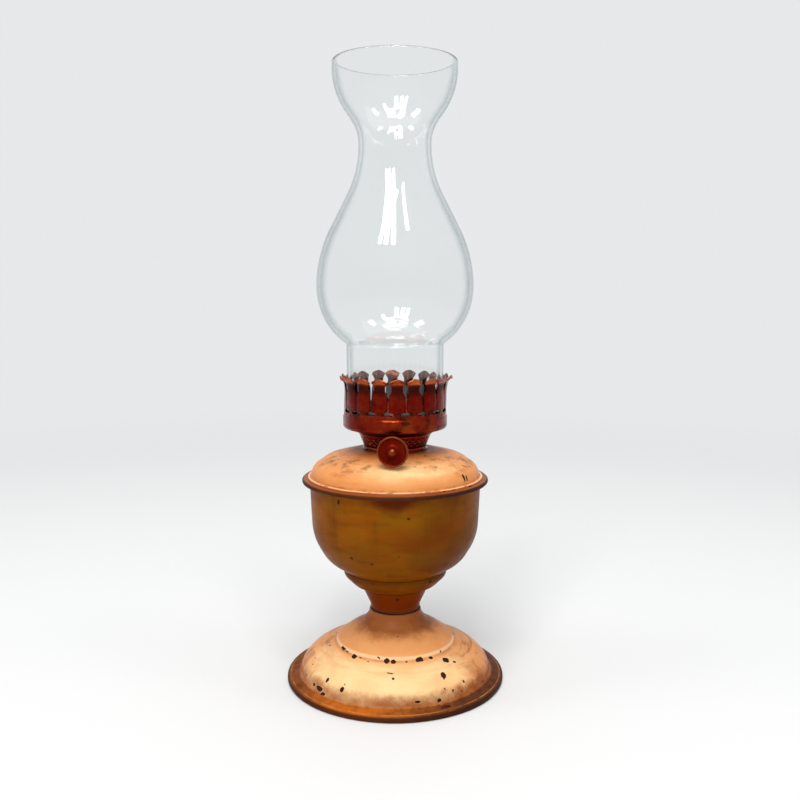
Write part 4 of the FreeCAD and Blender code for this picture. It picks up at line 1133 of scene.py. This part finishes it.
# ---- chimney ---------------------------------------------------------------------------------------------------
def chimney_corners():
    """The chimney's outline: fitter, bulb, waist and cup."""
    seat, top = foot_of("chimney"), top_of("chimney")
    fitter = (19.9, seat + 34.0, 1.8)
    bulb, waist = (radius_of("chimney"), seat + 58.0), (14.6, seat + 111.4)
    mouth = (25.0, top - GLASS_WALL / 2, 0)
    return [(19.9, seat + GLASS_WALL / 2, 0), fitter, between(fitter, bulb, 1.0, 0.40, 29.0),
            between(bulb, waist, 0.0, 0.214, 54.0), between(bulb, waist, 1.0, 0.848, 42.0),
            between(waist, mouth, 0.0, 0.227, 16.0), between(waist, mouth, 1.0, 0.668, 28.0), mouth]


class LAMP_OT_chimney(Operator):
    """Builds the blown glass chimney"""
    bl_idname = "lamp.chimney"
    bl_label = "Chimney"

    def execute(self, context):
        def wobble(radius, height, bearing):
            """Ripples move the radius by up to 0.08 mm, and grow from height 145 mm to 175 mm."""
            slack = np.clip((height - 145) / 30, 0, 1)
            return radius + 0.08 * slack * ripples(bearing, height, 17, waves=3), height
        loop = section(chimney_corners(), GLASS_WALL, 0.95)
        piece = spun("blown_chimney", loop, context.scene.lamp_detail.sides, wobble)
        glass = clear_glass("chimney_glass", context.scene.lamp_colours)
        stand_in(piece, "chimney", "chimney", glass)
        return {"FINISHED"}


# ---- stage -----------------------------------------------------------------------------------------------------
FLOOR_RADIUS, FLOOR_SIDES = 3000, 96        # the radius in millimetres, as for the pieces
FLOOR_FADE = (0.25, 0.9)                    # from the axis, where the floor starts and ends going over to the glow
PANE_DISTANCE = 1.65
PANE_COLOUR = (1.0, 0.98, 0.95)
LIGHTS_AIM = (0, 0, 0.12)
OVERHEAD_SIZE, OVERHEAD_PLACE = 1.2, (0.1, 0.1, 1.3)
SENSOR_WIDTH = 36.0
# The panes that light the lamp: name, bearing and elevation in degrees, width and length in metres, and brightness.
PANES = (("left_pane", -108, 50, 0.13, 0.62, 1.0), ("middle_pane", -97, 50, 0.16, 0.62, 1.0),
         ("right_pane", -84, 50, 0.18, 0.62, 1.0), ("far_right_pane", -52, 57.5, 0.13, 0.32, 1.0),
         ("left_skylight", -110, 70, 0.24, 0.5, 0.8), ("right_skylight", -66, 69, 0.34, 0.5, 0.8),
         ("left_side_pane", -160, 62, 0.30, 0.34, 0.5), ("right_side_pane", -8, 62, 0.22, 0.30, 0.5))


def seen_ray(tree):
    """1 for rays that see the stage directly, in a reflection or through glass."""
    path = node(tree, "LightPath").outputs
    camera, glossy, through = (Signal(path[f"Is {kind} Ray"]) for kind in ("Camera", "Glossy", "Transmission"))
    return camera.larger(glossy.larger(through))


def floor_material(colour):
    """Pale floor near the lamp, which fades into the background far from it."""
    material, shader, vector = fresh_material("pale_floor")
    tree = material.node_tree
    far = vector.vector("LENGTH").ramp(*FLOOR_FADE) * seen_ray(tree)
    glow = node(tree, "Emission", {"Color": (*colour, 1.0)})
    blend = node(tree, "MixShader", {0: far, 1: Signal(shader.outputs[0]), 2: Signal(glow.outputs[0])})
    tree.links.new(blend.outputs[0], tree.nodes["Material Output"].inputs["Surface"])
    wire(shader, Base_Color=tuple(colour), Roughness=0.6)
    return material


def area_light(name, width, height, place, power, colour=(1.0, 1.0, 1.0)):
    """A rectangular light that faces the lamp."""
    data = bpy.data.lights.new(name, "AREA")
    data.shape, data.size, data.size_y = "RECTANGLE", width, height
    data.energy, data.color = power, colour
    light = bpy.data.objects.new(name, data)
    light.location = place
    light.rotation_euler = (Vector(LIGHTS_AIM) - Vector(place)).to_track_quat("-Z", "Y").to_euler()
    bpy.context.scene.collection.objects.link(light)


class LAMP_OT_stage(Operator):
    """Builds the floor, the lights, the background and the camera"""
    bl_idname = "lamp.stage"
    bl_label = "Stage"

    def execute(self, context):
        stage = context.scene.lamp_stage
        self.make_floor(context, stage)
        for name, bearing, elevation, width, length, brightness in PANES:
            turn, rise = math.radians(bearing), math.radians(elevation)
            away = PANE_DISTANCE * math.cos(rise)
            place = (away * math.cos(turn), away * math.sin(turn), LIGHTS_AIM[2] + PANE_DISTANCE * math.sin(rise))
            area_light(name, width, length, place, stage.key * brightness * width * length, PANE_COLOUR)
        area_light("overhead", OVERHEAD_SIZE, OVERHEAD_SIZE, OVERHEAD_PLACE, stage.fill)
        self.make_world(context, stage)
        self.make_camera(context, stage)
        context.scene.view_settings.view_transform = "Standard"
        return {"FINISHED"}

    def make_floor(self, context, stage):
        """A large round disc at height 0."""
        mesh = bpy.data.meshes.new("floor")
        rim = about_axis(FLOOR_RADIUS, bearings(FLOOR_SIDES), 0)
        mesh.from_pydata((rim * MM).tolist(), [], [list(range(FLOOR_SIDES))])
        mesh.materials.append(floor_material(stage.floor))
        floor = bpy.data.objects.new("floor", mesh)
        context.scene.collection.objects.link(floor)

    def make_world(self, context, stage):
        """The background, at full strength where it is seen and at the room light's strength where it lights."""
        world = bpy.data.worlds.new("pale_room")
        world.use_nodes = True
        tree = world.node_tree
        tree.nodes.clear()
        strength = stage.sky + seen_ray(tree) * (1.0 - stage.sky)
        back = node(tree, "Background", {"Color": (*stage.floor, 1.0), "Strength": strength})
        tree.links.new(back.outputs[0], node(tree, "OutputWorld").inputs["Surface"])
        context.scene.world = world

    def make_camera(self, context, stage):
        """The camera, turned about the lamp by its azimuth, tilted down by its pitch and aimed a little aside."""
        data = bpy.data.cameras.new("camera")
        data.lens, data.sensor_width = stage.lens, SENSOR_WIDTH
        camera = bpy.data.objects.new("camera", data)
        camera.location = (stage.distance * math.sin(stage.azimuth), -stage.distance * math.cos(stage.azimuth),
                           stage.height)
        camera.rotation_euler = (math.pi / 2 - stage.pitch, 0, stage.azimuth - stage.aside)
        context.scene.collection.objects.link(camera)
        context.scene.camera = camera


class LAMP_PT_panel(Panel):
    """Lists the lamp's pieces"""
    bl_idname = "LAMP_PT_panel"
    bl_label = "Table Lamp"
    bl_space_type = "VIEW_3D"
    bl_region_type = "UI"
    bl_category = "Table Lamp"

    def draw(self, context):
        for maker in OPERATORS:
            self.layout.operator(maker.bl_idname, text=maker.bl_label)
        for settings in (context.scene.lamp_detail, context.scene.lamp_stage, context.scene.lamp_colours):
            for key in settings.__annotations__:
                self.layout.prop(settings, key)


OPERATORS = (LAMP_OT_foot, LAMP_OT_bowl, LAMP_OT_font_top, LAMP_OT_gallery, LAMP_OT_basket, LAMP_OT_inner_burner,
             LAMP_OT_thumb_wheel, LAMP_OT_wick, LAMP_OT_chimney, LAMP_OT_stage)
CLASSES = (LampColours, LampDetail, StageSettings, *OPERATORS, LAMP_PT_panel)


def register():
    for each in CLASSES:
        bpy.utils.register_class(each)
    bpy.types.Scene.lamp_colours = PointerProperty(type=LampColours)
    bpy.types.Scene.lamp_detail = PointerProperty(type=LampDetail)
    bpy.types.Scene.lamp_stage = PointerProperty(type=StageSettings)


def unregister():
    del bpy.types.Scene.lamp_stage, bpy.types.Scene.lamp_detail, bpy.types.Scene.lamp_colours
    for each in reversed(CLASSES):
        bpy.utils.unregister_class(each)


def main():
    register()
    for maker in OPERATORS:
        getattr(bpy.ops.lamp, maker.bl_idname.split(".")[1])()


if __name__ == "__main__":
    main()
